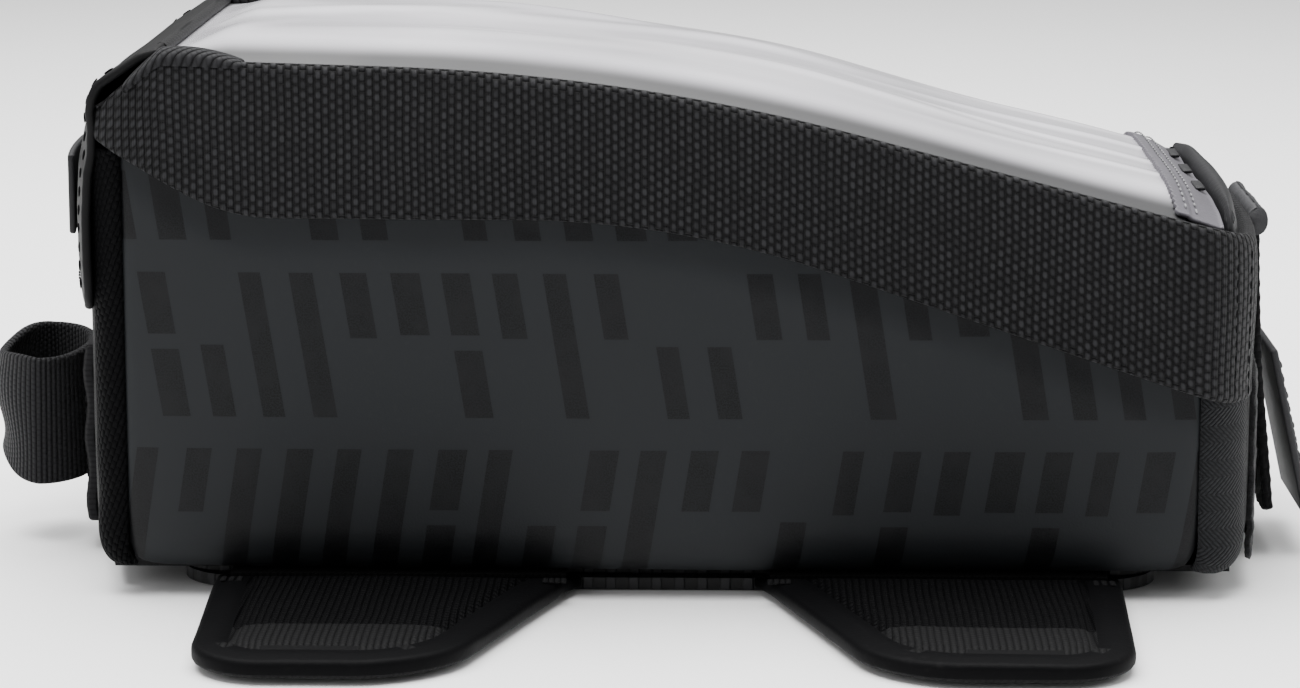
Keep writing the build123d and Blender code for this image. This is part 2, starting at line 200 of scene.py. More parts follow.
def ripple(x, y, z, scale, depth):
    """A gentle unevenness of soft goods, the same on every run."""
    return depth * noise.noise(Vector((x, y, z)) / scale)


# ---------------------------------------------------------------- mesh helpers


def grid_mesh(across, along, place, chart, close_across=False, close_along=False):
    """A bmesh grid whose points are carried to place(u, v), with chart(u, v) as its map, both in mm."""
    bm = bmesh.new()
    bmesh.ops.create_grid(bm, x_segments=across, y_segments=along, size=0.5)
    layer = bm.loops.layers.uv.new("UVMap")
    for face in bm.faces:
        face.smooth = True
        for loop in face.loops:
            u, v = loop.vert.co.x + 0.5, loop.vert.co.y + 0.5
            mapped = chart(u, v)
            loop[layer].uv = (mapped[0] * MM, mapped[1] * MM)
    for vert in bm.verts:
        vert.co = Vector(place(vert.co.x + 0.5, vert.co.y + 0.5)) * MM
    if close_across or close_along:
        bmesh.ops.remove_doubles(bm, verts=bm.verts, dist=0.001 * MM)
        bmesh.ops.recalc_face_normals(bm, faces=bm.faces)
    return bm


def flat_chart(bm, first=0, second=1):
    """Maps a mesh from two of its own axes."""
    layer = bm.loops.layers.uv.verify()
    for face in bm.faces:
        face.smooth = True
        for loop in face.loops:
            loop[layer].uv = (loop.vert.co[first], loop.vert.co[second])


def to_object(name, bm, finish):
    """An object at the origin from a bmesh, with one finish."""
    mesh = bpy.data.meshes.new(name)
    bm.to_mesh(mesh)
    bm.free()
    mesh.materials.append(finish)
    piece = bpy.data.objects.new(name, mesh)
    bpy.context.scene.collection.objects.link(piece)
    return piece


def give_wall(piece, thickness, side=-1.0):
    """Gives a surface its thickness in mm, inwards unless told otherwise."""
    wall = piece.modifiers.new("wall", "SOLIDIFY")
    wall.thickness = thickness * MM
    wall.offset = side
    wall.use_even_offset = False


def soften(piece, levels=1):
    """Rounds a piece by subdivision."""
    smooth = piece.modifiers.new("soften", "SUBSURF")
    smooth.levels = levels
    smooth.render_levels = levels


def settle(piece):
    """Applies the piece's modifiers to its mesh."""
    bpy.context.view_layer.update()
    evaluated = piece.evaluated_get(bpy.context.evaluated_depsgraph_get())
    mesh = bpy.data.meshes.new_from_object(evaluated)
    old = piece.data
    piece.modifiers.clear()
    piece.data = mesh
    mesh.name = piece.name
    bpy.data.meshes.remove(old)
    return piece


def face_towards(mesh, direction):
    """Turns an open sheet over if its faces look away from a direction."""
    look = sum((polygon.normal * polygon.area).dot(Vector(direction)) for polygon in mesh.polygons)
    if look < 0:
        mesh.flip_normals()


def attach(piece, body, slot, *nodes):
    """Rides the piece on a body and hides the nodes it stands for; the slot it is given is not used."""
    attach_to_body(piece, body)
    if nodes:
        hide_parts(*nodes)
    return piece


def joined_verts(start):
    """Every vertex joined to the given ones by edges."""
    found, waiting = set(start), list(start)
    while waiting:
        vert = waiting.pop()
        for link in vert.link_edges:
            other = link.other_vert(vert)
            if other not in found:
                found.add(other)
                waiting.append(other)
    return list(found)


def soft_bar(bm, size, centre, edge, segments=2, turn=None):
    """Adds a bar with rounded edges to a bmesh, sizes in mm."""
    made = bmesh.ops.create_cube(bm, size=1.0)["verts"]
    bmesh.ops.scale(bm, verts=made, vec=Vector(size) * MM)
    corners = list({link for vert in made for link in vert.link_edges})
    cut = bmesh.ops.bevel(
        bm,
        geom=corners,
        offset=edge * MM,
        affect="EDGES",
        segments=segments,
        profile=0.5,
        material=-1,
    )
    bar = joined_verts({vert for face in cut["faces"] for vert in face.verts})
    if turn is not None:
        bmesh.ops.rotate(bm, verts=bar, cent=(0, 0, 0), matrix=turn)
    bmesh.ops.translate(bm, verts=bar, vec=Vector(centre) * MM)


def stitch_row(bm, points, pitch, length, radius):
    """Adds thread stitches along a line of points in mm."""
    spots = [Vector(point) for point in points]
    reach = [0.0]
    for a, b in zip(spots, spots[1:]):
        reach.append(reach[-1] + (b - a).length)
    count = max(int(reach[-1] / pitch), 1)
    for number in range(count):
        middle = (number + 0.5) * reach[-1] / count
        index = min(int(np.searchsorted(reach, middle)), len(spots) - 1)
        index = max(index, 1)
        a, b = spots[index - 1], spots[index]
        share = (middle - reach[index - 1]) / max(reach[index] - reach[index - 1], 1e-6)
        heading = (b - a).normalized()
        made = bmesh.ops.create_uvsphere(bm, u_segments=6, v_segments=4, radius=1.0)["verts"]
        turn = heading.to_track_quat("Z", "Y").to_matrix().to_4x4()
        grow = Matrix.Diagonal((radius * MM, radius * MM, length / 2 * MM, 1.0))
        move = Matrix.Translation(a.lerp(b, share) * MM)
        bmesh.ops.transform(bm, matrix=move @ turn @ grow, verts=made)


# ---------------------------------------------------------------- finishes


class Bench:
    """Places and joins nodes in one node tree."""

    def __init__(self, tree):
        self.tree = tree

    def add(self, kind, **settings):
        node = self.tree.nodes.new(kind)
        for key, value in settings.items():
            setattr(node, key, value)
        return node

    def join(self, value, socket):
        if isinstance(value, bpy.types.NodeSocket):
            self.tree.links.new(value, socket)
        else:
            socket.default_value = value

    def maths(self, operation, *values):
        node = self.add("ShaderNodeMath", operation=operation)
        for number, value in enumerate(values):
            self.join(value, node.inputs[number])
        return node.outputs[0]

    def split(self, vector):
        node = self.add("ShaderNodeSeparateXYZ")
        self.join(vector, node.inputs[0])
        return node.outputs[0], node.outputs[1], node.outputs[2]

    def combine(self, x, y, z=0.0):
        node = self.add("ShaderNodeCombineXYZ")
        for number, value in enumerate((x, y, z)):
            self.join(value, node.inputs[number])
        return node.outputs[0]

    def blend(self, amount, low, high):
        node = self.add("ShaderNodeMix", data_type="RGBA")
        self.join(amount, node.inputs[0])
        self.join(low, node.inputs[6])
        self.join(high, node.inputs[7])
        return node.outputs[2]

    def scaled(self, vector, scale, turn=0.0):
        node = self.add("ShaderNodeMapping")
        self.join(vector, node.inputs["Vector"])
        node.inputs["Scale"].default_value = scale
        node.inputs["Rotation"].default_value = (0.0, 0.0, math.radians(turn))
        return node.outputs[0]

    def grain(self, vector, scale, detail=2.0, roughness=0.5):
        node = self.add("ShaderNodeTexNoise")
        self.join(vector, node.inputs["Vector"])
        self.join(scale, node.inputs["Scale"])
        node.inputs["Detail"].default_value = detail
        node.inputs["Roughness"].default_value = roughness
        return node.outputs[0]

    def chance(self, vector):
        node = self.add("ShaderNodeTexWhiteNoise", noise_dimensions="3D")
        self.join(vector, node.inputs["Vector"])
        return node.outputs["Value"]

    def between(self, value, low, high, start=0.0, stop=1.0):
        node = self.add("ShaderNodeMapRange", interpolation_type="SMOOTHSTEP")
        for number, given in enumerate((value, low, high, start, stop)):
            self.join(given, node.inputs[number])
        return node.outputs[0]

    def group(self, tree, **inputs):
        node = self.add("ShaderNodeGroup", node_tree=tree)
        for key, value in inputs.items():
            self.join(value, node.inputs[key.replace("_", " ")])
        return node.outputs


def new_group(name, inputs, outputs):
    """A shader node group with named sockets, and the bench, input sockets and output node inside it."""
    tree = bpy.data.node_groups.new(name, "ShaderNodeTree")
    for label, kind, default in inputs:
        socket = tree.interface.new_socket(name=label, in_out="INPUT", socket_type=kind)
        if default is not None:
            socket.default_value = default
    for label, kind in outputs:
        tree.interface.new_socket(name=label, in_out="OUTPUT", socket_type=kind)
    bench = Bench(tree)
    entry = bench.add("NodeGroupInput")
    exit_ = bench.add("NodeGroupOutput")
    return tree, bench, entry.outputs, exit_.inputs


def basket_group():
    """Staggered bumps of a heavy basket weave, in columns; Shade is painted shade in the pits and painted
    highlight on the bump tops.
    """
    tree, bench, given, out = new_group(
        "Basket Weave",
        [
            ("Vector", "NodeSocketVector", None),
            ("Column", "NodeSocketFloat", 0.00133),
            ("Bump", "NodeSocketFloat", 0.0018),
        ],
        [
            ("Height", "NodeSocketFloat"),
            ("Shade", "NodeSocketFloat"),
            ("Chance", "NodeSocketFloat"),
        ],
    )
    wander = bench.grain(given["Vector"], 55.0, 1.0)
    u, v, _ = bench.split(given["Vector"])
    drift = bench.maths("MULTIPLY", bench.maths("SUBTRACT", wander, 0.5), 0.0006)
    columns = bench.maths("DIVIDE", bench.maths("ADD", u, drift), given["Column"])
    column = bench.maths("FLOOR", columns)
    odd = bench.maths("MODULO", bench.maths("ABSOLUTE", column), 2.0)
    rows = bench.maths(
        "ADD",
        bench.maths("DIVIDE", bench.maths("ADD", v, drift), given["Bump"]),
        bench.maths("MULTIPLY", odd, 0.5),
    )
    side = bench.maths("SINE", bench.maths("MULTIPLY", bench.maths("FRACT", columns), math.pi))
    end = bench.maths("SINE", bench.maths("MULTIPLY", bench.maths("FRACT", rows), math.pi))
    bump = bench.maths(
        "POWER", bench.maths("MAXIMUM", bench.maths("MULTIPLY", side, end), 0.0), 0.55
    )
    pick = bench.chance(bench.combine(column, bench.maths("FLOOR", rows)))
    strands = bench.maths(
        "MULTIPLY", bench.maths("SINE", bench.maths("MULTIPLY", columns, 6 * math.pi)), 0.06
    )
    bench.join(bench.maths("ADD", bump, strands), out["Height"])
    # Shade follows the bump height: painted shade in the pits, painted highlight on the bump tops
    bench.join(bench.between(bump, 0.42, 1.02), out["Shade"])
    bench.join(pick, out["Chance"])
    return tree


def rib_group():
    """Raised ribs that run along the map's first axis, straight, slanted or in a herringbone; Shade,
    taken from their height, is painted shade in the grooves and painted highlight on the rib tops.
    """
    tree, bench, given, out = new_group(
        "Ribbed Cloth",
        [
            ("Vector", "NodeSocketVector", None),
            ("Pitch", "NodeSocketFloat", 0.001),
            ("Slant", "NodeSocketFloat", 0.0),
            ("Zigzag", "NodeSocketFloat", 1.0),
        ],
        [("Height", "NodeSocketFloat"), ("Shade", "NodeSocketFloat")],
    )
    u, v, _ = bench.split(given["Vector"])
    turnback = bench.maths("PINGPONG", u, given["Zigzag"])
    line = bench.maths("ADD", v, bench.maths("MULTIPLY", turnback, given["Slant"]))
    phase = bench.maths("DIVIDE", line, given["Pitch"])
    rib = bench.maths(
        "POWER",
        bench.maths("ABSOLUTE", bench.maths("SINE", bench.maths("MULTIPLY", phase, math.pi))),
        0.6,
    )
    odd = bench.maths("MULTIPLY", bench.maths("FLOOR", phase), 0.5)
    picks = bench.maths("FRACT", bench.maths("ADD", bench.maths("DIVIDE", u, given["Pitch"]), odd))
    thread = bench.maths("SINE", bench.maths("MULTIPLY", picks, math.pi))
    height = bench.maths(
        "MULTIPLY", rib, bench.maths("ADD", bench.maths("MULTIPLY", thread, 0.35), 0.65)
    )
    bench.join(height, out["Height"])
    # Shade follows the rib height: painted shade in the grooves, painted highlight on the rib tops
    bench.join(bench.between(height, 0.2, 0.95), out["Shade"])
    return tree


def wear_group():
    """Slow mottling of colour and shine, with a little pale dust."""
    tree, bench, given, out = new_group(
        "Handling Marks",
        [
            ("Vector", "NodeSocketVector", None),
            ("Colour", "NodeSocketColor", (0.02, 0.02, 0.02, 1.0)),
            ("Dust", "NodeSocketColor", (0.3, 0.29, 0.28, 1.0)),
            ("Amount", "NodeSocketFloat", 0.05),
            ("Roughness", "NodeSocketFloat", 0.6),
        ],
        [("Colour", "NodeSocketColor"), ("Roughness", "NodeSocketFloat")],
    )
    broad = bench.grain(given["Vector"], 26.0, 3.0)
    fine = bench.grain(given["Vector"], 900.0, 2.0)
    lift = bench.maths("MULTIPLY", bench.between(fine, 0.55, 0.8), bench.between(broad, 0.4, 0.7))
    dusty = bench.maths("MULTIPLY", lift, given["Amount"])
    shade = bench.maths("ADD", bench.maths("MULTIPLY", broad, 0.3), 0.85)
    dimmed = bench.add("ShaderNodeVectorMath", operation="SCALE")
    bench.join(given["Colour"], dimmed.inputs[0])
    bench.join(shade, dimmed.inputs["Scale"])
    bench.join(bench.blend(dusty, dimmed.outputs[0], given["Dust"]), out["Colour"])
    change = bench.maths("MULTIPLY", bench.maths("SUBTRACT", broad, 0.5), 0.16)
    bench.join(bench.maths("ADD", given["Roughness"], change), out["Roughness"])
    return tree


def fuzz_group():
    """Tangled fibres of a loop or hook tape; Shade, taken from the fibre height, is painted shade between
    the fibres and painted highlight on their tops.
    """
    tree, bench, given, out = new_group(
        "Fibre Fuzz",
        [("Vector", "NodeSocketVector", None), ("Scale", "NodeSocketFloat", 1500.0)],
        [("Height", "NodeSocketFloat"), ("Shade", "NodeSocketFloat")],
    )
    coarse = bench.grain(given["Vector"], given["Scale"], 3.0, 0.7)
    clumps = bench.grain(given["Vector"], bench.maths("MULTIPLY", given["Scale"], 0.28), 2.0)
    mixed = bench.maths("MULTIPLY", coarse, bench.maths("ADD", clumps, 0.45))
    bench.join(mixed, out["Height"])
    bench.join(bench.between(mixed, 0.3, 0.65), out["Shade"])
    return tree


GROUPS = {}
FINISHES = {}


def effect(name):
    """One of the shared shader groups, made the first time it is asked for."""
    makers = {"basket": basket_group, "ribs": rib_group, "wear": wear_group, "fuzz": fuzz_group}
    if name not in GROUPS:
        GROUPS[name] = makers[name]()
    return GROUPS[name]


def blank(name, roughness, specular=0.5, **constants):
    """A new material: its bench, shader and the two coordinates that patterns use."""
    material = bpy.data.materials.new(name)
    material.use_nodes = True
    bench = Bench(material.node_tree)
    shader = next(node for node in material.node_tree.nodes if node.type == "BSDF_PRINCIPLED")
    shader.inputs["Roughness"].default_value = roughness
    shader.inputs["Specular IOR Level"].default_value = specular
    for key, value in constants.items():
        shader.inputs[key.replace("_", " ")].default_value = value
    where = bench.add("ShaderNodeTexCoord")
    FINISHES[name] = material
    return bench, shader.inputs, where.outputs


def raise_surface(bench, ports, height, distance, strength=1.0):
    """Feeds a height to the shader's normal, distance in mm."""
    bump = bench.add("ShaderNodeBump")
    bump.inputs["Distance"].default_value = distance * MM
    bump.inputs["Strength"].default_value = strength
    bench.join(height, bump.inputs["Height"])
    bench.join(bump.outputs[0], ports["Normal"])


def marked(bench, ports, vector, colour, roughness, amount=0.012):
    """Adds handling marks to a colour and feeds colour and roughness to the shader."""
    worn = bench.group(
        effect("wear"), Vector=vector, Colour=colour, Amount=amount, Roughness=roughness
    )
    bench.join(worn["Colour"], ports["Base Color"])
    bench.join(worn["Roughness"], ports["Roughness"])


def basket_finish(
    name,
    pit,
    thread,
    column,
    bump,
    on="UV",
    turn=0.0,
    depth=0.5,
    roughness=0.7,
    sheen=0.03,
    specular=0.12,
):
    """A heavy basket-woven cloth, its colour blended from pit to thread by painted shade in the pits and
    painted highlight on the bump tops.
    """
    bench, ports, where = blank(name, roughness, specular, Sheen_Weight=sheen, Sheen_Roughness=0.5)
    vector = bench.scaled(where[on], (1, 1, 1), turn)
    weave = bench.group(effect("basket"), Vector=vector, Column=column * MM, Bump=bump * MM)
    # lit: the weave's painted shade and highlight, with a random tone for each bump
    lit = bench.maths(
        "MULTIPLY",
        weave["Shade"],
        bench.maths("ADD", bench.maths("MULTIPLY", weave["Chance"], 0.5), 0.65),
    )
    marked(bench, ports, where["Object"], bench.blend(lit, pit, thread), roughness)
    raise_surface(bench, ports, weave["Height"], depth)


def rib_finish(
    name,
    pit,
    thread,
    pitch,
    on="UV",
    turn=0.0,
    slant=0.0,
    zigzag=1000.0,
    depth=0.3,
    roughness=0.7,
    sheen=0.03,
):
    """A ribbed, twill or herringbone cloth or tape, its colour blended from pit to thread by painted
    shade in the grooves and painted highlight on the rib tops.
    """
    bench, ports, where = blank(name, roughness, 0.12, Sheen_Weight=sheen, Sheen_Roughness=0.5)
    vector = bench.scaled(where[on], (1, 1, 1), turn)
    ribs = bench.group(
        effect("ribs"), Vector=vector, Pitch=pitch * MM, Slant=slant, Zigzag=zigzag * MM
    )
    marked(bench, ports, where["Object"], bench.blend(ribs["Shade"], pit, thread), roughness)
    raise_surface(bench, ports, ribs["Height"], depth)


def vinyl_finish(
    name, colour, roughness, grain_scale=1400.0, depth=0.06, specular=0.25, coat=0.0, amount=0.012
):
    """A smooth coated sheet with a fine pebble."""
    bench, ports, where = blank(name, roughness, specular, Coat_Weight=coat, Coat_Roughness=0.35)
    pebble = bench.grain(where["Object"], grain_scale, 2.0, 0.6)
    creases = bench.grain(where["Object"], 60.0, 3.0, 0.6)
    marked(bench, ports, where["Object"], colour, roughness, amount)
    raise_surface(
        bench, ports, bench.maths("ADD", pebble, bench.maths("MULTIPLY", creases, 2.5)), depth
    )


def fuzz_finish(name, dark, light, scale=1500.0, depth=0.5, roughness=0.9):
    """A hook or loop tape, its colour blended dark to light by painted shade between the fibres and
    painted highlight on their tops.
    """
    bench, ports, where = blank(name, roughness, 0.15, Sheen_Weight=0.08, Sheen_Roughness=0.6)
    fibres = bench.group(effect("fuzz"), Vector=where["Object"], Scale=scale)
    marked(
        bench, ports, where["Object"], bench.blend(fibres["Shade"], dark, light), roughness, 0.02
    )
    raise_surface(bench, ports, fibres["Height"], depth)


def tarpaulin_finish(colours, sizes):
    """Matte coated tarpaulin with a tonal print of speckled bars in rows."""
    bench, ports, where = blank("coated tarpaulin", 0.5, 0.16, Coat_Roughness=0.4, Coat_IOR=1.4)
    u, v, _ = bench.split(where["UV"])
    pitch = sizes.print_pitch
    tall = sizes.print_height
    row_line = bench.maths("DIVIDE", bench.maths("SUBTRACT", v, 0.0016), pitch)
    row = bench.maths("FLOOR", row_line)
    up = bench.maths("MULTIPLY", bench.maths("FRACT", row_line), pitch)
    lean = bench.maths(
        "MULTIPLY",
        bench.maths("SUBTRACT", bench.maths("PINGPONG", bench.maths("ADD", row, 0.5), 2.0), 1.0),
        0.32,
    )
    across = bench.maths("ADD", u, bench.maths("MULTIPLY", up, lean))
    step = 0.0092
    bar_line = bench.maths("DIVIDE", across, step)
    bar = bench.maths("FLOOR", bar_line)
    luck = bench.chance(bench.combine(bar, row, 3.0))
    luck_again = bench.chance(bench.combine(bar, row, 11.0))
    width = bench.maths("ADD", bench.maths("MULTIPLY", luck, 0.18), 0.42)
    inside = bench.maths("LESS_THAN", bench.maths("FRACT", bar_line), width)
    low = bench.maths("MULTIPLY", bench.maths("GREATER_THAN", luck_again, 0.78), tall * 0.55)
    high = bench.maths(
        "SUBTRACT",
        tall,
        bench.maths("MULTIPLY", bench.maths("LESS_THAN", luck_again, 0.2), tall * 0.5),
    )
    body = bench.maths(
        "MULTIPLY", bench.maths("GREATER_THAN", up, low), bench.maths("LESS_THAN", up, high)
    )
    gap_low = bench.maths(
        "LESS_THAN", bench.maths("ABSOLUTE", bench.maths("SUBTRACT", up, tall * 0.52)), 0.0014
    )
    broken = bench.maths("MULTIPLY", gap_low, bench.maths("GREATER_THAN", luck, 0.62))
    shape = bench.maths(
        "MULTIPLY", bench.maths("MULTIPLY", inside, body), bench.maths("SUBTRACT", 1.0, broken)
    )
    edges = bench.grain(where["UV"], 2400.0, 1.0)
    speckle = bench.between(bench.grain(where["UV"], 3200.0, 2.0, 0.7), 0.44, 0.56)
    patches = bench.between(bench.grain(where["UV"], 180.0, 3.0, 0.6), 0.35, 0.75)
    print_ = bench.maths(
        "MULTIPLY", shape, bench.maths("ADD", bench.maths("MULTIPLY", speckle, 0.4), 0.6)
    )
    ink = bench.blend(
        bench.maths("MULTIPLY", speckle, patches),
        tuple(colours.print_dark),
        tuple(colours.print_light),
    )
    colour = bench.blend(print_, tuple(colours.tarpaulin), ink)
    marked(bench, ports, where["Object"], colour, bench.between(print_, 0.0, 1.0, 0.6, 0.55), 0.006)
    bench.join(bench.maths("MULTIPLY", print_, 0.03), ports["Coat Weight"])
    crease = bench.grain(where["Object"], 45.0, 2.0, 0.5)
    mixed = bench.maths(
        "ADD", bench.maths("MULTIPLY", edges, 0.35), bench.maths("MULTIPLY", crease, 3.0)
    )
    raise_surface(
        bench, ports, bench.maths("ADD", mixed, bench.maths("MULTIPLY", print_, 0.25)), 0.07
    )


def film_finish(colours):
    """Milky clear film, duller and painted dark near its sewn edges where it rolls down to the skirt:
    partly its dark sewn border showing through, partly painted shade.
    """
    bench, ports, where = blank("clear film", 0.16, 0.6, Coat_Weight=0.6, Coat_Roughness=0.06)
    _, v, _ = bench.split(where["UV"])
    near = bench.maths("ABSOLUTE", v)
    mottle = bench.grain(where["Object"], 18.0, 3.0, 0.55)
    smear = bench.grain(bench.scaled(where["UV"], (1.0, 2.0, 1.0)), 14.0, 2.0, 0.5)
    base = bench.blend(
        bench.between(smear, 0.35, 0.7), tuple(colours.film_shade), tuple(colours.film)
    )
    # edge masks the dark band along both sewn edges: partly the dark border under the film, partly
    # painted shade where the film rolls down
    edge = bench.between(
        bench.maths("ADD", near, bench.maths("MULTIPLY", mottle, 0.001)), 0.0355, 0.049
    )
    bench.join(bench.blend(edge, base, tuple(colours.film_border_and_shade)), ports["Base Color"])
    bench.join(
        bench.maths(
            "ADD", bench.between(mottle, 0.3, 0.7, 0.12, 0.26), bench.maths("MULTIPLY", edge, 0.4)
        ),
        ports["Roughness"],
    )
    bench.join(bench.between(edge, 0.0, 1.0, 0.6, 0.0), ports["Coat Weight"])
    bench.join(bench.between(edge, 0.0, 1.0, 0.9, 1.0), ports["Alpha"])
    long_creases = bench.grain(bench.scaled(where["UV"], (0.6, 1.4, 1.0)), 40.0, 2.0, 0.4)
    raise_surface(bench, ports, long_creases, 0.3)


def make_finishes(colours, sizes):
    """Every finish of the bag, once."""
    # black is the painted shade in the pits and grooves of the weaves and ribs; thread is the skirt
    # weave's bump tops, carrying painted highlight
    black, thread = tuple(colours.cloth_dark), tuple(colours.cloth_light)
    tarpaulin_finish(colours, sizes)
    film_finish(colours)
    basket_finish(
        "skirt weave", black, thread, sizes.weave_column / MM, sizes.weave_bump / MM, depth=0.55
    )
    basket_finish("panel weave", black, tone(26, 26, 28), 1.1, 1.5, depth=0.4)
    basket_finish(
        "binding weave",
        black,
        tone(7, 7, 8),
        1.0,
        1.5,
        turn=20.0,
        depth=0.5,
        sheen=0.0,
        specular=0.04,
    )
    basket_finish(
        "wing weave", black, tone(12, 12, 13), 1.25, 1.5, depth=0.6, sheen=0.0, specular=0.04
    )
    rib_finish(
        "twill tape", black, tone(30, 31, 33), 0.9, slant=1.0, zigzag=3.2, turn=90.0, depth=0.3
    )
    rib_finish("ear twill", black, tone(34, 34, 36), 1.0, turn=35.0, depth=0.3)
    rib_finish("ribbed webbing", black, tone(28, 28, 30), 1.05, turn=90.0, depth=0.45)
    rib_finish("wing ribs", black, tone(8, 8, 9), 1.2, turn=90.0, depth=0.4, sheen=0.0)
    rib_finish(
        "edge tape", black, tone(14, 14, 15), 0.8, on="Object", slant=0.0, turn=40.0, depth=0.15
    )
    rib_finish(
        "inner lining",
        tone(34, 35, 38),
        tone(52, 53, 57),
        0.5,
        on="Object",
        turn=45.0,
        depth=0.08,
        roughness=0.55,
    )
    rib_finish(
        "pocket cloth",
        tone(84, 84, 87),
        tone(110, 110, 113),
        0.6,
        on="Object",
        turn=45.0,
        depth=0.05,
    )
    vinyl_finish("soft vinyl", tone(10, 10, 11), 0.62, depth=0.05, specular=0.12)
    vinyl_finish("wing border", tone(5, 5, 6), 0.62, depth=0.06, specular=0.05)
    # The roll's tone is lighter than the flap's soft vinyl as a painted highlight on the convex roll
    vinyl_finish("roll cloth", tone(24, 24, 26), 0.55, grain_scale=900.0, depth=0.1, specular=0.2)
    vinyl_finish("grey vinyl", tuple(colours.grey_vinyl), 0.45, depth=0.1)
    vinyl_finish("soft rubber", tone(22, 22, 24), 0.6, grain_scale=2200.0, depth=0.05)
    vinyl_finish("rolled knob", tone(44, 44, 46), 0.6, grain_scale=1800.0, depth=0.12)
    vinyl_finish("base cloth", tone(10, 10, 11), 0.7, depth=0.1)
    vinyl_finish("magnet plating", tone(150, 150, 152), 0.3, depth=0.02)
    vinyl_finish("stiff board", tone(18, 18, 20), 0.6, depth=0.08)
    vinyl_finish("foam", tone(20, 20, 22), 0.9, grain_scale=700.0, depth=0.25)
    fuzz_finish("loop tape", tone(6, 6, 7), tone(30, 30, 32))
    fuzz_finish("hook tape", tone(6, 6, 7), tone(28, 28, 30), scale=900.0)
    vinyl_finish("black thread", tone(12, 12, 13), 0.7, grain_scale=2400.0, specular=0.08)
    fuzz_finish("grey thread", tone(90, 90, 92), tone(140, 140, 142), scale=2400.0, depth=0.1)
    grip_finish()


def grip_finish():
    """Black non-slip rubber with a grid of small raised dots, the dots painted lighter than the rubber
    between them as a painted highlight on their tops.
    """
    bench, ports, where = blank("grip rubber", 0.7, 0.4)
    u, v, _ = bench.split(bench.scaled(where["Object"], (1, 1, 1), 45.0))
    dots = []
    for line in (u, v):
        phase = bench.maths("FRACT", bench.maths("DIVIDE", line, 0.003))
        dots.append(bench.maths("SINE", bench.maths("MULTIPLY", phase, math.pi)))
    dot = bench.between(bench.maths("MULTIPLY", dots[0], dots[1]), 0.45, 0.75)
    marked(
        bench,
        ports,
        where["Object"],
        bench.blend(dot, tone(20, 20, 21), tone(38, 38, 40)),
        0.7,
        0.08,
    )
    raise_surface(bench, ports, dot, 0.35)


# ---------------------------------------------------------------- shapes shared by the shell's pieces


def run_line(start, heading, runs):
    """Points of a line of straight and curved runs, each (length, turn in degrees, steps)."""
    x, z = start
    points = [(x, z)]
    for length, turn, steps in runs:
        for _ in range(steps):
            heading += turn / steps / 2
            x += length / steps * math.cos(math.radians(heading))
            z += length / steps * math.sin(math.radians(heading))
            heading += turn / steps / 2
            points.append((x, z))
    return points


def along_line(points):
    """A function from 0 to 1 along a line of points, and the line's length."""
    line = np.array(points)
    reach = np.concatenate([[0.0], np.cumsum(np.hypot(*np.diff(line, axis=0).T))])

    def spot(share):
        far = share * reach[-1]
        return float(np.interp(far, reach, line[:, 0])), float(np.interp(far, reach, line[:, 1]))

    return spot, float(reach[-1])


EDGE_PATH = FLOOR_EDGE * math.pi / 2
SKIRT_EDGE = bend_line(
    [(-104.0, 84.6), (-80.0, 70.4), (2.0, 70.0), (104.0, 35.4), (130.0, 35.4)], [9.0, 28.0, 7.0]
)


def wall_point(travel, path, proud):
    """A point on the bag's wall: path runs up from under the bottom edge, proud stands off the wall."""
    if path < EDGE_PATH:
        angle = path / FLOOR_EDGE
        grow = -FLOOR_EDGE + (FLOOR_EDGE + proud) * math.sin(angle)
        z = FLOOR_Z + FLOOR_EDGE - (FLOOR_EDGE + proud) * math.cos(angle)
    else:
        grow = proud
        z = FLOOR_Z + FLOOR_EDGE + path - EDGE_PATH
    x, y = around(travel, grow)
    return x, y, z


def path_to(z):
    """The wall path that reaches a height above the rounded bottom edge."""
    return EDGE_PATH + z - FLOOR_Z - FLOOR_EDGE


def skirt_top(x):
    """The skirt's upper edge, bevelled down at the rear."""
    if x < -91.0:
        return 88.8 + (lid_top(-91.0) - 88.8) * max((x + 104.0) / 13.0, 0.0) ** 0.8
    return lid_top(x)


def crown(y, height, half=53.0):
    """How high the padded lid stands above its sewn edge at y."""
    return height * (1.0 - min(abs(y) / half, 1.0) ** 5)


def side_stretch(first, last, left):
    """Travel for 0 to 1 along a stretch of the right side, or its mirror on the left."""
    if left:
        return lambda u: 2 * HALF_WAY - last + (last - first) * u
    return lambda u: first + (last - first) * u


# ---------------------------------------------------------------- pieces


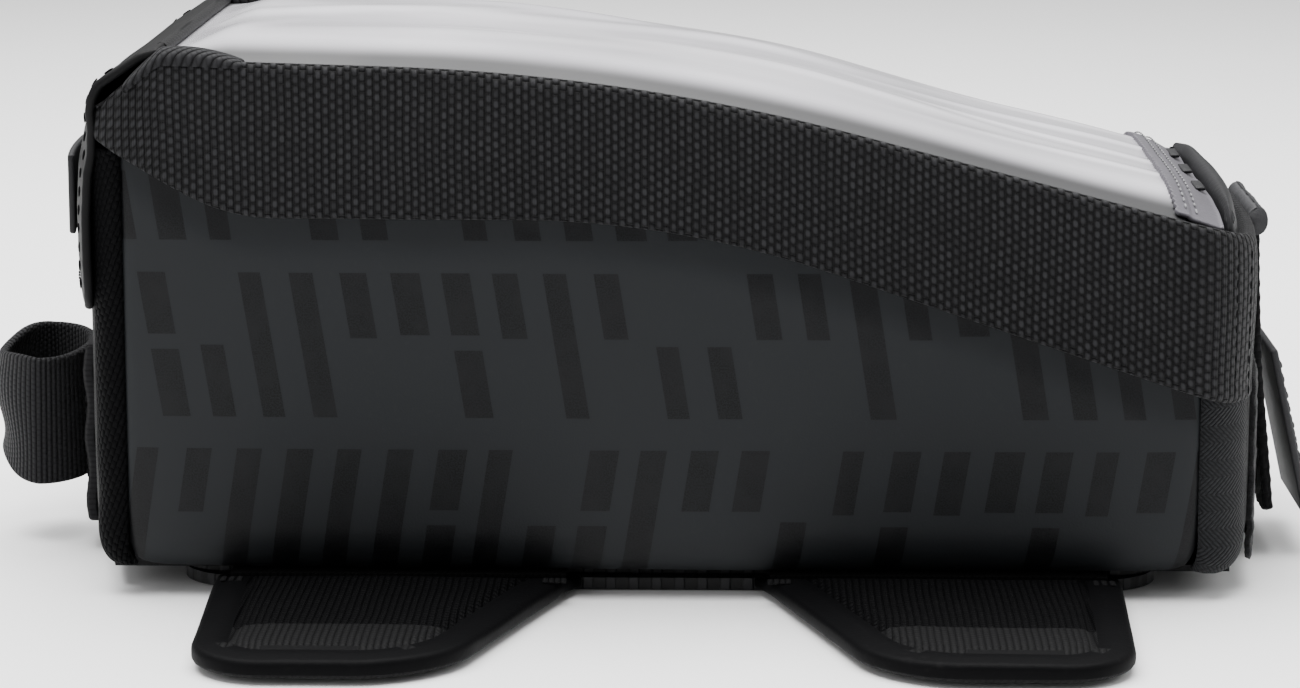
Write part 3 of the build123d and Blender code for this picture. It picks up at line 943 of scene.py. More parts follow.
def build_side_cover(sizes, left):
    """One padded side with its corners rounded off and its edges tucked under the bindings."""
    first, last = travel_at(-99.6), travel_at(97.4)
    travel_of = side_stretch(first, last, left)
    length = last - first
    corner = 8.0

    def spot(u, v):
        travel = travel_of(u)
        x, _ = around(travel)
        end = min(u, 1 - u) * length
        cut = corner - math.sqrt(corner**2 - (corner - end) ** 2) if end < corner else 0.0
        low = 3.4 + cut * 1.1
        high = path_to(lid_top(x) - 14.0)
        return travel, x, low + (high - low) * v

    def place(u, v):
        travel, x, path = spot(u, v)
        z = path - EDGE_PATH + FLOOR_Z + FLOOR_EDGE
        tucked = 1.0 - ease(z, SKIRT_EDGE(x) - 8.0, SKIRT_EDGE(x) + 2.0)
        full = swell(u, 0.22) * swell(min(v * 1.02, 1.0), 0.25)
        proud = -0.9 + (sizes.side_swell / MM + 0.9) * full * (0.45 + 0.55 * tucked)
        proud += ripple(x, 1.0 if left else 9.0, z, 38.0, 0.35) * full
        return wall_point(travel, path, proud)

    def chart(u, v):
        travel, _, path = spot(u, v)
        return (
            travel if not left else 2 * HALF_WAY - travel
        ) * (-1 if left else 1), path - EDGE_PATH + FLOOR_Z + FLOOR_EDGE

    hand = "left" if left else "right"
    piece = to_object(
        f"side_cover_{hand}", grid_mesh(150, 64, place, chart), FINISHES["coated tarpaulin"]
    )
    give_wall(piece, 1.2)
    soften(piece)
    attach(piece, "bag_body", "coated_tarpaulin", f"side_panel_{hand}")


def build_end_cover(name, first, last, top, proud_by, finish, slot, node):
    """A padded front or rear wall cover between its two corner bindings."""

    def spot(u, v):
        travel = first + (last - first) * u
        return travel, 4.0 + (path_to(top) - 4.0) * v

    def place(u, v):
        travel, path = spot(u, v)
        proud = proud_by * swell(u, 0.3) * swell(v, 0.3)
        return wall_point(travel, path, proud + ripple(travel, path, 0.0, 30.0, 0.25))

    piece = to_object(name, grid_mesh(60, 44, place, spot), finish)
    give_wall(piece, 1.2)
    soften(piece)
    attach(piece, "bag_body", slot, node)


def build_binding(name, first, last, high, left, finish, node, bulge):
    """A corner binding that wraps the seam and rolls under at the bottom in a soft lump."""
    travel_of = side_stretch(first, last, left)

    def spot(u, v):
        return travel_of(u), BINDING_START + (path_to(high) - BINDING_START) * v

    def place(u, v):
        travel, path = spot(u, v)
        z = path - EDGE_PATH + FLOOR_Z + FLOOR_EDGE
        lump = bulge * math.exp(-(((z - 7.0) / 4.5) ** 2))
        proud = 0.1 + (0.6 + lump) * swell(u, 0.45) * ease(v, -0.02, 0.05)
        return wall_point(travel, path, proud + ripple(travel, z, 4.0, 7.0, 0.18))

    piece = to_object(name, grid_mesh(12, 70, place, spot), finish)
    give_wall(piece, 1.2)
    soften(piece)
    attach(piece, "bag_body", "binding_tape", node)


def build_skirt(sizes):
    """The lid's woven skirt: one band from rear corner to rear corner, folded over the lid's edge."""
    start = travel_at(-103.9)
    stop = 2 * HALF_WAY - start
    stand = 0.8
    fold_in = 5.4

    def spot(u, v):
        travel = start + (stop - start) * u
        x, _ = around(travel)
        return travel, x, SKIRT_EDGE(x), skirt_top(x)

    def place(u, v):
        travel, x, low, high = spot(u, v)
        thick = sizes.skirt_thickness / MM
        rear = ease(x, -104.0, -90.0)
        if v <= stand:
            share = v / stand
            z = low + (high - 0.6 - low) * share
            hem = math.exp(-(((z - low - 1.6) / 1.8) ** 2)) * 0.35
            proud = (
                (thick + 0.2) * (0.25 + 0.75 * rear)
                + 0.4 * swell(share, 0.5)
                + hem
                - 0.9 * math.exp(-(((z - low) / 0.6) ** 2))
            )
            proud += ripple(travel, z, 2.0, 24.0, 0.5)
        else:
            share = (v - stand) / (1 - stand)
            ridge = math.sin(math.pi * min(share * 1.5, 1.0))
            proud = (thick + 0.2) * (0.25 + 0.75 * rear) - fold_in * share ** 1.25
            z = high - 0.6 + 1.15 * ridge - 0.2 * share
        x, y = around(travel, proud)
        return x - sizes.front_ease / MM * ease(x, 96.0, 108.0), y, z

    def chart(u, v):
        travel, _, low, high = spot(u, v)
        if v <= stand:
            return travel, -(high - 0.6 - low) * (1 - v / stand)
        return travel, fold_in * (v - stand) / (1 - stand)

    piece = to_object("lid_skirt", grid_mesh(300, 30, place, chart), FINISHES["skirt weave"])
    give_wall(piece, sizes.skirt_thickness / MM * 0.75)
    soften(piece)
    attach(piece, "lid", "ballistic_weave", "skirt_right", "skirt_left", "skirt_front")

    bm = bmesh.new()
    for left in (False, True):
        for x_at in (100.6, 102.6):
            travel = travel_at(x_at)
            travel = 2 * HALF_WAY - travel if left else travel
            low, high = SKIRT_EDGE(x_at) + 2.0, skirt_top(x_at) - 2.0
            line = [
                (*around(travel, sizes.skirt_thickness / MM + 1.65), low + (high - low) * k / 8)
                for k in range(9)
            ]
            stitch_row(bm, line, 2.6, 1.7, 0.22)
    flat_chart(bm, 0, 2)
    attach(
        to_object("skirt_corner_stitches", bm, FINISHES["black thread"]), "lid", "ballistic_weave"
    )


CREASES = (
    (-62.0, 8.0, 24.0, 30.0, 5.0, 0.55),
    (-20.0, 30.0, -14.0, 46.0, 6.0, 0.6),
    (4.0, 18.0, 9.0, 40.0, 5.0, 0.5),
    (-40.0, -20.0, 12.0, 36.0, 6.0, 0.35),
    (36.0, -8.0, -6.0, 34.0, 4.0, 0.45),
    (74.0, 12.0, 2.0, 26.0, 2.2, 0.55),
    (70.0, -4.0, -2.0, 30.0, 2.0, 0.5),
    (78.0, -22.0, 3.0, 20.0, 2.2, 0.45),
    (76.0, 30.0, -3.0, 22.0, 2.4, 0.4),
    (-84.0, -30.0, 60.0, 18.0, 4.0, 0.4),
)


def film_lift(x, y):
    """Height that the film's creases and slack add at a point."""
    total = ripple(x, y, 3.0, 42.0, 0.9)
    for cx, cy, heading, length, width, height in CREASES:
        angle = math.radians(heading)
        along = (x - cx) * math.cos(angle) + (y - cy) * math.sin(angle)
        across = -(x - cx) * math.sin(angle) + (y - cy) * math.cos(angle)
        total += height * math.exp(-((along / length) ** 2) - (across / width) ** 2)
    return total * ease(52.0 - abs(y), 0.0, 12.0)


def film_arch(y, sizes):
    """How high the stretched window stands at y, in mm."""
    return crown(y, sizes.film_crown / MM, FILM_HALF)


def build_film(sizes):
    """The pocket's clear window, stretched over the padded lid and sewn down along both sides."""
    rear, front, half = -92.6, 93.4, FILM_HALF

    def place(u, v):
        x = rear + (front - rear) * u
        y = half * (2 * v - 1)
        end = ease(x, rear, rear + 14.0)
        return x, y, lid_top(x) - 0.4 + film_arch(y, sizes) * (
            0.12 + 0.88 * end
        ) + film_lift(x, y) * end

    def chart(u, v):
        return rear + (front - rear) * u, half * (2 * v - 1)

    piece = to_object("window_sheet", grid_mesh(190, 110, place, chart), FINISHES["clear film"])
    give_wall(piece, 0.5)
    attach(piece, "lid", "clear_film", "window_film")


def build_trim(sizes):
    """The grey vinyl strip across the lid's front, with its cut edge, fold and two plain bars."""
    rear, front, half = 91.8, 100.4, 51.6

    def place(u, v):
        y = half * (2 * v - 1)
        jag = 0.32 * math.asin(math.sin(y * 2.4)) * (1 - ease(u, 0.0, 0.25))
        x = rear + (front - rear) * u + jag
        fold = 0.45 * (1 - ease(u, 0.26, 0.34)) + 0.25 * ease(u, 0.9, 1.0)
        settle_down = 1 - 0.35 * ease(u, 0.4, 1.0)
        return x, y, lid_top(x) + 0.35 + film_arch(y, sizes) * settle_down + fold + ripple(
            x, y, 0.0, 9.0, 0.3
        )

    piece = to_object(
        "front_trim_strip",
        grid_mesh(36, 150, place, lambda u, v: (place(u, v)[0], place(u, v)[1])),
        FINISHES["grey vinyl"],
    )
    give_wall(piece, 0.9)
    soften(piece)
    attach(piece, "lid", "grey_vinyl", "front_trim")
    bm = bmesh.new()
    for y in (-24.0, -2.0, 20.0):
        z = lid_top(98.8) + 0.9 + film_arch(y, sizes) * 0.75
        soft_bar(bm, (1.9, 9.0, 0.7), (98.6, y, z), 0.3)
    flat_chart(bm)
    attach(to_object("trim_bars", bm, FINISHES["soft rubber"]), "lid", "grey_vinyl")
    bm = bmesh.new()
    for x in (93.6, 95.6):
        line = []
        for k in range(25):
            y = -50.0 + 100.0 * k / 24
            fold = 0.62 if x < 95.0 else 0.15
            line.append((x, y, lid_top(x) + 0.45 + film_arch(y, sizes) + fold))
        stitch_row(bm, line, 3.0, 2.0, 0.2)
    flat_chart(bm)
    attach(to_object("trim_stitches", bm, FINISHES["grey thread"]), "lid", "grey_vinyl")


def build_front_roll(sizes):
    """The smooth padded roll across the lid's front, behind the skirt's upper edge."""
    half = 49.5

    def place(u, v):
        y = half * (2 * u - 1)
        bow = 109.5 - (FRONT_BOW_CENTRE_X + math.sqrt(FRONT_BOW_RADIUS**2 - y * y))
        x = 99.8 + 7.6 * v - bow * ease(v, 0.1, 0.9)
        ends = swell(u, 0.18)
        hump = (
            4.4 * swell((v - 0.14) / 0.84, 0.7) * ends
            - 1.6 * math.exp(-(((v - 0.1) / 0.08) ** 2))
        )
        base = lid_top(x) + film_arch(y, sizes) * 0.62 * (1 - v)
        return x, y, base + hump - 2.2 * ease(v, 0.75, 1.0) - 1.2 * (1 - ends) + ripple(
            x, y, 5.0, 14.0, 0.35
        )

    piece = to_object(
        "front_roll_cover",
        grid_mesh(110, 30, place, lambda u, v: (99 * u, 12 * v)),
        FINISHES["roll cloth"],
    )
    face_towards(piece.data, UP)
    give_wall(piece, 1.2)
    soften(piece)
    attach(piece, "lid", "ballistic_weave", "front_roll")


def build_ears():
    """Twill humps at the lid's two rear corners."""
    bm = bmesh.new()
    for side in (-1, 1):

        def place(u, v, side=side):
            x = -98.0 + 22.0 * u
            y = side * (50.2 + 6.6 * v)
            top = skirt_top(x) + 0.4 + 2.3 * swell(u, 0.8) * swell(v, 0.5)
            return x, y, top - 1.2 * (1 - swell(v, 0.3))

        part = grid_mesh(34, 14, place, lambda u, v: (22 * u, 7 * v))
        bmesh.ops.recalc_face_normals(part, faces=part.faces)
        mesh = bpy.data.meshes.new("ear")
        part.to_mesh(mesh)
        part.free()
        face_towards(mesh, UP)
        bm.from_mesh(mesh)
        bpy.data.meshes.remove(mesh)
    piece = to_object("rear_ear_covers", bm, FINISHES["ear twill"])
    give_wall(piece, 1.4)
    soften(piece)
    attach(piece, "lid", "ballistic_weave", "rear_ears")


def rear_reach(y):
    """How far the rear wall's bow has come forward at y."""
    return REAR_BOW_RADIUS - math.sqrt(REAR_BOW_RADIUS**2 - y * y)


def bend_to_rear(bm, wave):
    """Cuts a flat upright bar finely and bends it to the rear wall's bow."""
    long_edges = [edge for edge in bm.edges if edge.calc_length() > 10 * MM]
    bmesh.ops.subdivide_edges(bm, edges=long_edges, cuts=14, use_grid_fill=True)
    for vert in bm.verts:
        vert.co.x += (rear_reach(vert.co.y / MM) + wave * math.sin(vert.co.z / MM * 0.5)) * MM


FLAP_LINE = [
    (-91.4, 101.6),
    (-95.0, 100.6),
    (-103.0, 95.2),
    (-108.2, 89.6),
    (-111.0, 84.0),
    (-112.4, 78.0),
    (-112.9, 70.0),
    (-112.9, 62.0),
    (-112.6, 55.0),
    (-112.2, 52.4),
]


def build_flap():
    """The thick smooth flap that falls over the pocket's rear mouth, with its patch and edge stitches."""
    spot, length = along_line(FLAP_LINE)
    half = 54.5

    def place(u, v):
        x, z = spot(1 - v)
        near_foot = max(0.0, 7.0 - v * length)
        inset = 7.0 - math.sqrt(49.0 - near_foot**2) + 1.5 * ease(1 - v, 0.25, 0.5)
        y = (half - inset) * (2 * u - 1)
        bow = rear_reach(y) * ease(1 - v, 0.2, 0.52)
        lip = 0.45 * (1 - swell(u, 0.1))
        return x + bow - lip * ease(1 - v, 0.15, 0.3), -y, z + ripple(y, z, 1.0, 22.0, 0.4)

    piece = to_object(
        "flap_sheet",
        grid_mesh(70, 64, place, lambda u, v: (101 * u, length * v)),
        FINISHES["soft vinyl"],
    )
    face_towards(piece.data, BACKWARDS)
    give_wall(piece, 1.7)
    soften(piece)
    attach(piece, "pocket_flap", "ballistic_weave", "flap_cover")

    bm = bmesh.new()
    soft_bar(bm, (1.3, 58.0, 15.0), (-113.9, 0.0, 71.0), 0.5, 3)
    bend_to_rear(bm, 0.0)
    flat_chart(bm, 1, 2)
    attach(
        to_object("flap_patch_cover", bm, FINISHES["soft rubber"]),
        "pocket_flap",
        "soft_rubber",
        "flap_patch",
    )

    bm = bmesh.new()
    edge_line = []
    for k in range(41):
        x, _, z = place(0.03, 0.07 + 0.78 * k / 40)
        edge_line.append((x - 0.15, 3.0 - half, z))
    stitch_row(bm, edge_line, 3.2, 2.1, 0.22)
    stitch_row(bm, [(x, -y, z) for x, y, z in edge_line], 3.2, 2.1, 0.22)
    foot_line = [place(k / 30, 0.07) for k in range(2, 29)]
    stitch_row(bm, [(x - 0.15, y, z) for x, y, z in foot_line], 3.2, 2.1, 0.22)
    flat_chart(bm, 1, 2)
    attach(
        to_object("flap_stitches", bm, FINISHES["black thread"]), "pocket_flap", "ballistic_weave"
    )


def build_grab_loop():
    """The rear webbing loop, pinched and folded at its outer end."""
    centre_x, reach_x, reach_y = -122.4, 8.6, 12.0

    def place(u, v):
        angle = 2 * math.pi * u
        outer = max(-math.cos(angle), 0.0)
        pinch = 1 - 0.2 * outer**3
        x = centre_x + reach_x * math.cos(angle)
        y = reach_y * math.sin(angle) * (1 - 0.12 * outer)
        lift = 1.4 * math.sin(angle) + 1.2 * outer
        z = 25.5 + lift + 25.0 * pinch * (v - 0.5)
        fold = 0.8 * outer * math.sin(v * 7.0)
        return x + fold + 0.5 * math.sin(angle * 3) * (v - 0.5), y, z

    bm = grid_mesh(96, 22, place, lambda u, v: (66 * u, 25 * v), close_across=True)
    piece = to_object("grab_loop_webbing", bm, FINISHES["ribbed webbing"])
    give_wall(piece, 1.7, 0.0)
    soften(piece)
    settle(piece)
    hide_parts("grab_loop")
    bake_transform(piece)


def build_tether_strip():
    """The upright webbing strip that the loop is sewn to."""
    bm = bmesh.new()
    soft_bar(bm, (2.4, 34.0, 34.6), (-111.9, 0.0, 22.8), 0.6, 2)
    bend_to_rear(bm, 0.35)
    flat_chart(bm, 1, 2)
    attach(
        to_object("tether_strip_webbing", bm, FINISHES["ribbed webbing"]),
        "bag_body",
        "webbing",
        "tether_strip",
    )
    bm = bmesh.new()
    for y in (-12.5, -10.0, 10.0, 12.5):
        line = [(-113.3 + rear_reach(y), y, 8.0 + 29.0 * k / 6) for k in range(7)]
        stitch_row(bm, line, 2.4, 1.7, 0.24)
    flat_chart(bm, 1, 2)
    attach(to_object("tether_stitches", bm, FINISHES["black thread"]), "bag_body", "webbing")


def build_tab():
    """The front closure tab: its strap, rolled top, grip patch and hook strip."""
    spot, length = along_line(
        run_line((111.6, 64.5), -88.5, ((23.0, 0.0, 4), (12.0, 5.0, 6), (21.0, 0.0, 4)))
    )

    def place(u, v):
        x, z = spot(1 - v)
        chunky = math.asin(math.sin(v * length * 2.3)) * 0.18 * (1 - swell(u, 0.06))
        ragged = ripple(u * 34.0, 0.0, 7.0, 2.2, 1.6) * (1 - ease(v, 0.0, 0.05))
        return x + chunky + 0.25 * math.sin(v * 5.0), 34.0 * (u - 0.5) + chunky * 1.4, z + ragged

    piece = to_object(
        "tab_strap_webbing",
        grid_mesh(46, 90, place, lambda u, v: (34 * u, length * v)),
        FINISHES["panel weave"],
    )
    give_wall(piece, 1.9)
    soften(piece)
    attach(piece, "closure_tab", "ballistic_weave", "tab_strap")

    def knob(u, v):
        angle = 2 * math.pi * v
        radius = 1.95 + ripple(u * 34, angle, 0.0, 3.0, 0.3)
        return 110.9 + radius * math.sin(angle), 34.4 * (
            u - 0.5
        ), 64.8 + 1.35 * radius * math.cos(angle)

    bm = grid_mesh(30, 18, knob, lambda u, v: (34 * u, 12 * v), close_along=True)
    bmesh.ops.holes_fill(bm, edges=bm.edges, sides=0)
    bmesh.ops.recalc_face_normals(bm, faces=bm.faces)
    attach(
        to_object("tab_rolled_top", bm, FINISHES["rolled knob"]), "closure_tab", "ballistic_weave"
    )

    lean = Matrix.Rotation(math.radians(-12.6), 4, "Y")
    bm = bmesh.new()
    soft_bar(bm, (1.5, 32.0, 33.0), (118.4, 0.0, 23.7), 0.5, 3, lean)
    for step in range(9):
        rise = 13.0 - 3.0 * step
        soft_bar(
            bm,
            (0.9, 25.0 if step % 2 else 27.0, 1.3),
            (119.3 - rise * 0.223, 0.0, 23.7 + rise * 0.975),
            0.35,
            2,
            lean,
        )
    flat_chart(bm, 1, 2)
    attach(
        to_object("tab_grip_patch", bm, FINISHES["rolled knob"]),
        "closure_tab",
        "soft_rubber",
        "tab_patch",
    )
    bm = bmesh.new()
    for y in (-14.6, 14.6):
        stitch_row(
            bm,
            [(119.25 - rise * 0.223, y, 23.7 + rise * 0.975) for rise in (-15.0, 0.0, 15.0)],
            2.6,
            1.8,
            0.22,
        )
    flat_chart(bm, 1, 2)
    attach(
        to_object("tab_patch_stitches", bm, FINISHES["black thread"]), "closure_tab", "soft_rubber"
    )
    bm = bmesh.new()
    soft_bar(bm, (0.9, 30.0, 18.0), (111.3, 0.0, 19.0), 0.3, 2)
    flat_chart(bm, 1, 2)
    attach(
        to_object("tab_hook_patch", bm, FINISHES["hook tape"]),
        "closure_tab",
        "hook_loop_tape",
        "tab_hook_strip",
    )


def build_loop_strip(name, middle, half, low, high, proud_by, body, node):
    """A strip of loop tape on an end wall, with a ragged lower edge."""

    def spot(u, v):
        return middle + half * (2 * u - 1), low + (high - low) * v

    def place(u, v):
        travel, z = spot(u, v)
        ragged = ripple(travel, 0.0, 5.0, 2.4, 2.4) * (1 - ease(v, 0.0, 0.08))
        proud = (
            proud_by
            + ripple(travel, z, 0.0, 2.5, 0.35)
            - 0.5 * (1 - swell(u, 0.15))
            - 0.5 * (1 - swell(v, 0.15))
        )
        x, y = around(travel, proud)
        return x, y, z + ragged

    piece = to_object(name, grid_mesh(90, 50, place, spot), FINISHES["loop tape"])
    give_wall(piece, 1.0)
    attach(piece, body, "hook_loop_tape", node)


def build_main_lining():
    """The inner lining: one loose sheet down the walls and across the floor."""
    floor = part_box("main_lining")[0].z / MM + 0.9
    wall_share = 0.62

    def place(u, v):
        travel = 2 * HALF_WAY * (1 - u)
        x, y = around(travel, -6.1)
        top = lid_top(x) - 15.4
        if v < wall_share:
            z = top + (floor - top) * v / wall_share
            slack = ripple(x, y, z, 26.0, 0.9) * swell(v / wall_share, 0.5)
            x, y = around(travel, -6.3 + min(slack, 0.1))
            return x, y, z
        share = 1 - (v - wall_share) / (1 - wall_share)
        return x * share, y * share, floor + abs(
            ripple(x * share, y * share, 0.0, 22.0, 0.9)
        ) * swell(share, 0.4)

    bm = grid_mesh(150, 60, place, lambda u, v: (600 * u, 130 * v), close_across=True)
    piece = to_object("main_lining_sheet", bm, FINISHES["inner lining"])
    first = piece.data.polygons[0]
    if first.normal.dot(Vector((first.center.x, first.center.y, 0))) > 0:
        piece.data.flip_normals()
    give_wall(piece, 0.6)
    attach(piece, "bag_body", "lining", "main_lining")


def build_lid_lining():
    """The quilted lining on the underside of the lid."""
    rear, front = -101.5, 105.5

    def place(u, v):
        x = rear + (front - rear) * u
        half = float(np.interp(x, OUTLINE[:, 0], -OUTLINE[:, 1])) - 0.4
        y = half * (1 - 2 * v)
        channel = abs(math.sin(math.pi * (x - rear) / 41.4)) ** 0.35 * swell(v, 0.25)
        return x, y, lid_top(x) - 11.7 - 0.9 * channel

    piece = to_object(
        "lid_lining_sheet",
        grid_mesh(160, 50, place, lambda u, v: (207 * u, 108 * v)),
        FINISHES["inner lining"],
    )
    give_wall(piece, 0.4)
    attach(piece, "lid", "lining", "lid_lining")


WING_ROOT_Y = 47.4
WING_TIP_Y = 114.0
WING_ROOT_X = (16.0, 83.4)
WING_TIP_X = (37.4, 80.6)
WING_BOTTOM = 0.9
WING_THICK = 3.4
WING_FIELD_RUN = 64.6
WING_FIELD_END = 106.0
WING_RIBS_START = 92.0
WING_ACROSS_CUTS = (49.0, 50.2, 51.4, 52.6, 55.0, 60.0, 70.0, 80.0, 92.0, 98.0)
WING_ALONG_CUTS = (28.0, 40.0, 52.0, 64.0, 74.0)
WING_BORDER_STEPS = (
    (2.6, 0.25), (2.6, -0.1), (0.5, -0.55), (0.5, 0.1), (0.9, 0.65), (2.0, 0.25), (3.0, 0.15)
)
WING_FINISHES = ("wing border", "wing weave", "wing ribs", "edge tape")


def round_corner(bm, vert, radius):
    """Rounds one corner of a flat outline, radius in mm."""
    bmesh.ops.bevel(
        bm, geom=[vert], offset=radius * MM, affect="VERTICES", segments=9, profile=0.5, material=-1
    )


def cut_through(bm, point, normal):
    """Adds a row of edges where a plane passes through a mesh."""
    everything = bm.verts[:] + bm.edges[:] + bm.faces[:]
    bmesh.ops.bisect_plane(bm, geom=everything, plane_co=point, plane_no=normal)


def build_wing(end, left):
    """A padded wing: a smooth border round a woven field, ribbed towards the tip, thinner at its root."""
    side = 1.0 if left else -1.0
    along = 1.0 if end == "front" else -1.0
    name = f"{end}_{'left' if left else 'right'}_wing"
    bm = bmesh.new()
    corners = [
        (WING_ROOT_X[0], WING_ROOT_Y),
        (WING_ROOT_X[1], WING_ROOT_Y),
        (WING_TIP_X[1], WING_TIP_Y),
        (WING_TIP_X[0], WING_TIP_Y),
    ]
    verts = [bm.verts.new((along * x * MM, side * y * MM, WING_BOTTOM * MM)) for x, y in corners]
    bm.faces.new(verts)
    round_corner(bm, verts[2], 13.0)
    bm.verts.ensure_lookup_table()
    slant_tip = Vector((along * WING_TIP_X[0] * MM, side * WING_TIP_Y * MM, WING_BOTTOM * MM))
    round_corner(bm, min(bm.verts, key=lambda vert: (vert.co - slant_tip).length), 15.0)
    bmesh.ops.remove_doubles(bm, verts=bm.verts, dist=0.01 * MM)
    face = max(bm.faces, key=lambda item: item.calc_area())
    if face.normal.z < 0:
        face.normal_flip()
    raised = bmesh.ops.extrude_face_region(bm, geom=[face])["geom"]
    raised_verts = [item for item in raised if isinstance(item, bmesh.types.BMVert)]
    bmesh.ops.translate(bm, verts=raised_verts, vec=(0, 0, WING_THICK * MM))
    bmesh.ops.recalc_face_normals(bm, faces=bm.faces)
    rim = [edge for edge in bm.edges if all(vert.co.z > 3 * MM for vert in edge.verts)]
    rim += [edge for edge in bm.edges if all(vert.co.z < 2 * MM for vert in edge.verts)]
    bmesh.ops.bevel(
        bm, geom=rim, offset=1.25 * MM, affect="EDGES", segments=4, profile=0.5, material=-1
    )
    top = max((item for item in bm.faces if item.normal.z > 0.9), key=lambda item: item.calc_area())
    for thickness, depth in WING_BORDER_STEPS:
        bmesh.ops.inset_region(
            bm, faces=[top], thickness=thickness * MM, depth=depth * MM, use_even_offset=True
        )
    for cut in WING_ACROSS_CUTS:
        cut_through(bm, (0, side * cut * MM, 0), (0, 1, 0))
    for cut in WING_ALONG_CUTS:
        cut_through(bm, (along * cut * MM, 0, 0), (1, 0, 0))
    for vert in bm.verts:
        x, y, z = vert.co / MM
        taper = ease(abs(y), 48.5, 57.0)
        if z < 2.0:
            vert.co.z = (1.0 * (1 - taper) + z * taper) * MM
        else:
            vert.co.z = (
                1.0 + (z - 1.0) * (0.55 + 0.45 * taper) + ripple(x, y, 0.0, 16.0, 0.3) * taper
            ) * MM
    flat_chart(bm)
    for item in bm.faces:
        middle = item.calc_center_median() / MM
        if item.normal.z < -0.5:
            item.material_index = 3
        elif item.normal.z > 0.5 and in_wing_field(abs(middle.x), abs(middle.y)):
            item.material_index = 2 if abs(middle.y) > WING_RIBS_START else 1
    piece = to_object(f"{name}_pad", bm, FINISHES["wing border"])
    for finish in WING_FINISHES[1:]:
        piece.data.materials.append(FINISHES[finish])
    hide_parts(f"{name}_cover", f"{name}_binding")
    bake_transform(piece)

    bm = bmesh.new()
    for x in (20.5, 79.5):
        for row in range(5):
            y = side * (57.0 + row * 0.62)
            stitch_row(
                bm, [(along * (x - 2.2), y, 4.5), (along * (x + 2.2), y, 4.5)], 1.1, 1.2, 0.26
            )
    flat_chart(bm)
    attach(to_object(f"{name}_bar_tacks", bm, FINISHES["black thread"]), name, "wing_weave")


def in_wing_field(x, y):
    """Whether a point on a wing lies inside its smooth border."""
    out = (y - WING_ROOT_Y) / WING_FIELD_RUN
    low = WING_ROOT_X[0] + (WING_TIP_X[0] - WING_ROOT_X[0]) * out
    high = WING_ROOT_X[1] + (WING_TIP_X[1] - WING_ROOT_X[1]) * out
    return low + 7.0 < x < high - 6.0 and y < WING_FIELD_END


def dress(finish, *nodes):
    """Gives CAD nodes that stay in view their finish."""
    for node in nodes:
        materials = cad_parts[node].data.materials
        materials.clear()
        materials.append(FINISHES[finish])


# ---------------------------------------------------------------- settings


class TankBagSizes(bpy.types.PropertyGroup):
    """Sizes that shape the soft parts."""

    side_swell: bpy.props.FloatProperty(
        name="Side Swell",
        description="How far the padded sides stand out",
        default=0.0015,
        unit="LENGTH",
        precision=5,
    )
    skirt_thickness: bpy.props.FloatProperty(
        name="Skirt Thickness",
        description="Thickness of the lid's woven skirt",
        default=0.0022,
        unit="LENGTH",
        precision=5,
    )
    front_ease: bpy.props.FloatProperty(
        name="Front Ease",
        description="How far the lid's front is drawn back by its padding",
        default=0.0018,
        unit="LENGTH",
        precision=5,
    )
    film_crown: bpy.props.FloatProperty(
        name="Film Crown",
        description="How high the window stands in the middle",
        default=0.004,
        unit="LENGTH",
        precision=5,
    )
    weave_column: bpy.props.FloatProperty(
        name="Weave Column",
        description="Width of one column of the skirt's weave",
        default=0.00133,
        unit="LENGTH",
        precision=5,
    )
    weave_bump: bpy.props.FloatProperty(
        name="Weave Bump",
        description="Length of one bump of the skirt's weave",
        default=0.0018,
        unit="LENGTH",
        precision=5,
    )
    print_pitch: bpy.props.FloatProperty(
        name="Print Pitch",
        description="Distance between rows of the tonal print",
        default=0.0325,
        unit="LENGTH",
        precision=4,
    )
    print_height: bpy.props.FloatProperty(
        name="Print Height",
        description="Height of one row of the tonal print",
        default=0.0266,
        unit="LENGTH",
        precision=4,
    )


class TankBagColours(bpy.types.PropertyGroup):
    """Colours of the bag's cloths and film."""

    tarpaulin: bpy.props.FloatVectorProperty(
        name="Tarpaulin",
        description="Matte side cloth",
        size=4,
        subtype="COLOR",
        default=tone(28, 30, 32),
    )
    print_dark: bpy.props.FloatVectorProperty(
        name="Print Dark",
        description="Dark specks of the print",
        size=4,
        subtype="COLOR",
        default=tone(2, 2, 3),
    )
    print_light: bpy.props.FloatVectorProperty(
        name="Print Light",
        description="Satin ground of the print",
        size=4,
        subtype="COLOR",
        default=tone(14, 14, 15),
    )
    # Cloth Dark is painted shade in the pits of the weaves; Cloth Light is the thread tone on the bump
    # tops, with painted highlight
    cloth_dark: bpy.props.FloatVectorProperty(
        name="Cloth Dark",
        description="Pits of the woven cloths",
        size=4,
        subtype="COLOR",
        default=tone(4, 4, 5),
    )
    cloth_light: bpy.props.FloatVectorProperty(
        name="Cloth Light",
        description="Threads of the woven cloths",
        size=4,
        subtype="COLOR",
        default=tone(40, 40, 42),
    )
    film: bpy.props.FloatVectorProperty(
        name="Film",
        description="Milky window film",
        size=4,
        subtype="COLOR",
        default=tone(240, 238, 243),
    )
    film_shade: bpy.props.FloatVectorProperty(
        name="Film Shade",
        description="Duller patches of the film",
        size=4,
        subtype="COLOR",
        default=tone(226, 224, 230),
    )
    # Film Edge: partly the dark sewn border seen through the film, partly painted shade where the film
    # rolls down to the skirt
    film_border_and_shade: bpy.props.FloatVectorProperty(
        name="Film Edge",
        description="Film over its dark sewn border",
        size=4,
        subtype="COLOR",
        default=tone(26, 26, 28),
    )
    grey_vinyl: bpy.props.FloatVectorProperty(
        name="Grey Vinyl",
        description="Trim across the lid's front",
        size=4,
        subtype="COLOR",
        default=tone(86, 84, 89),
    )


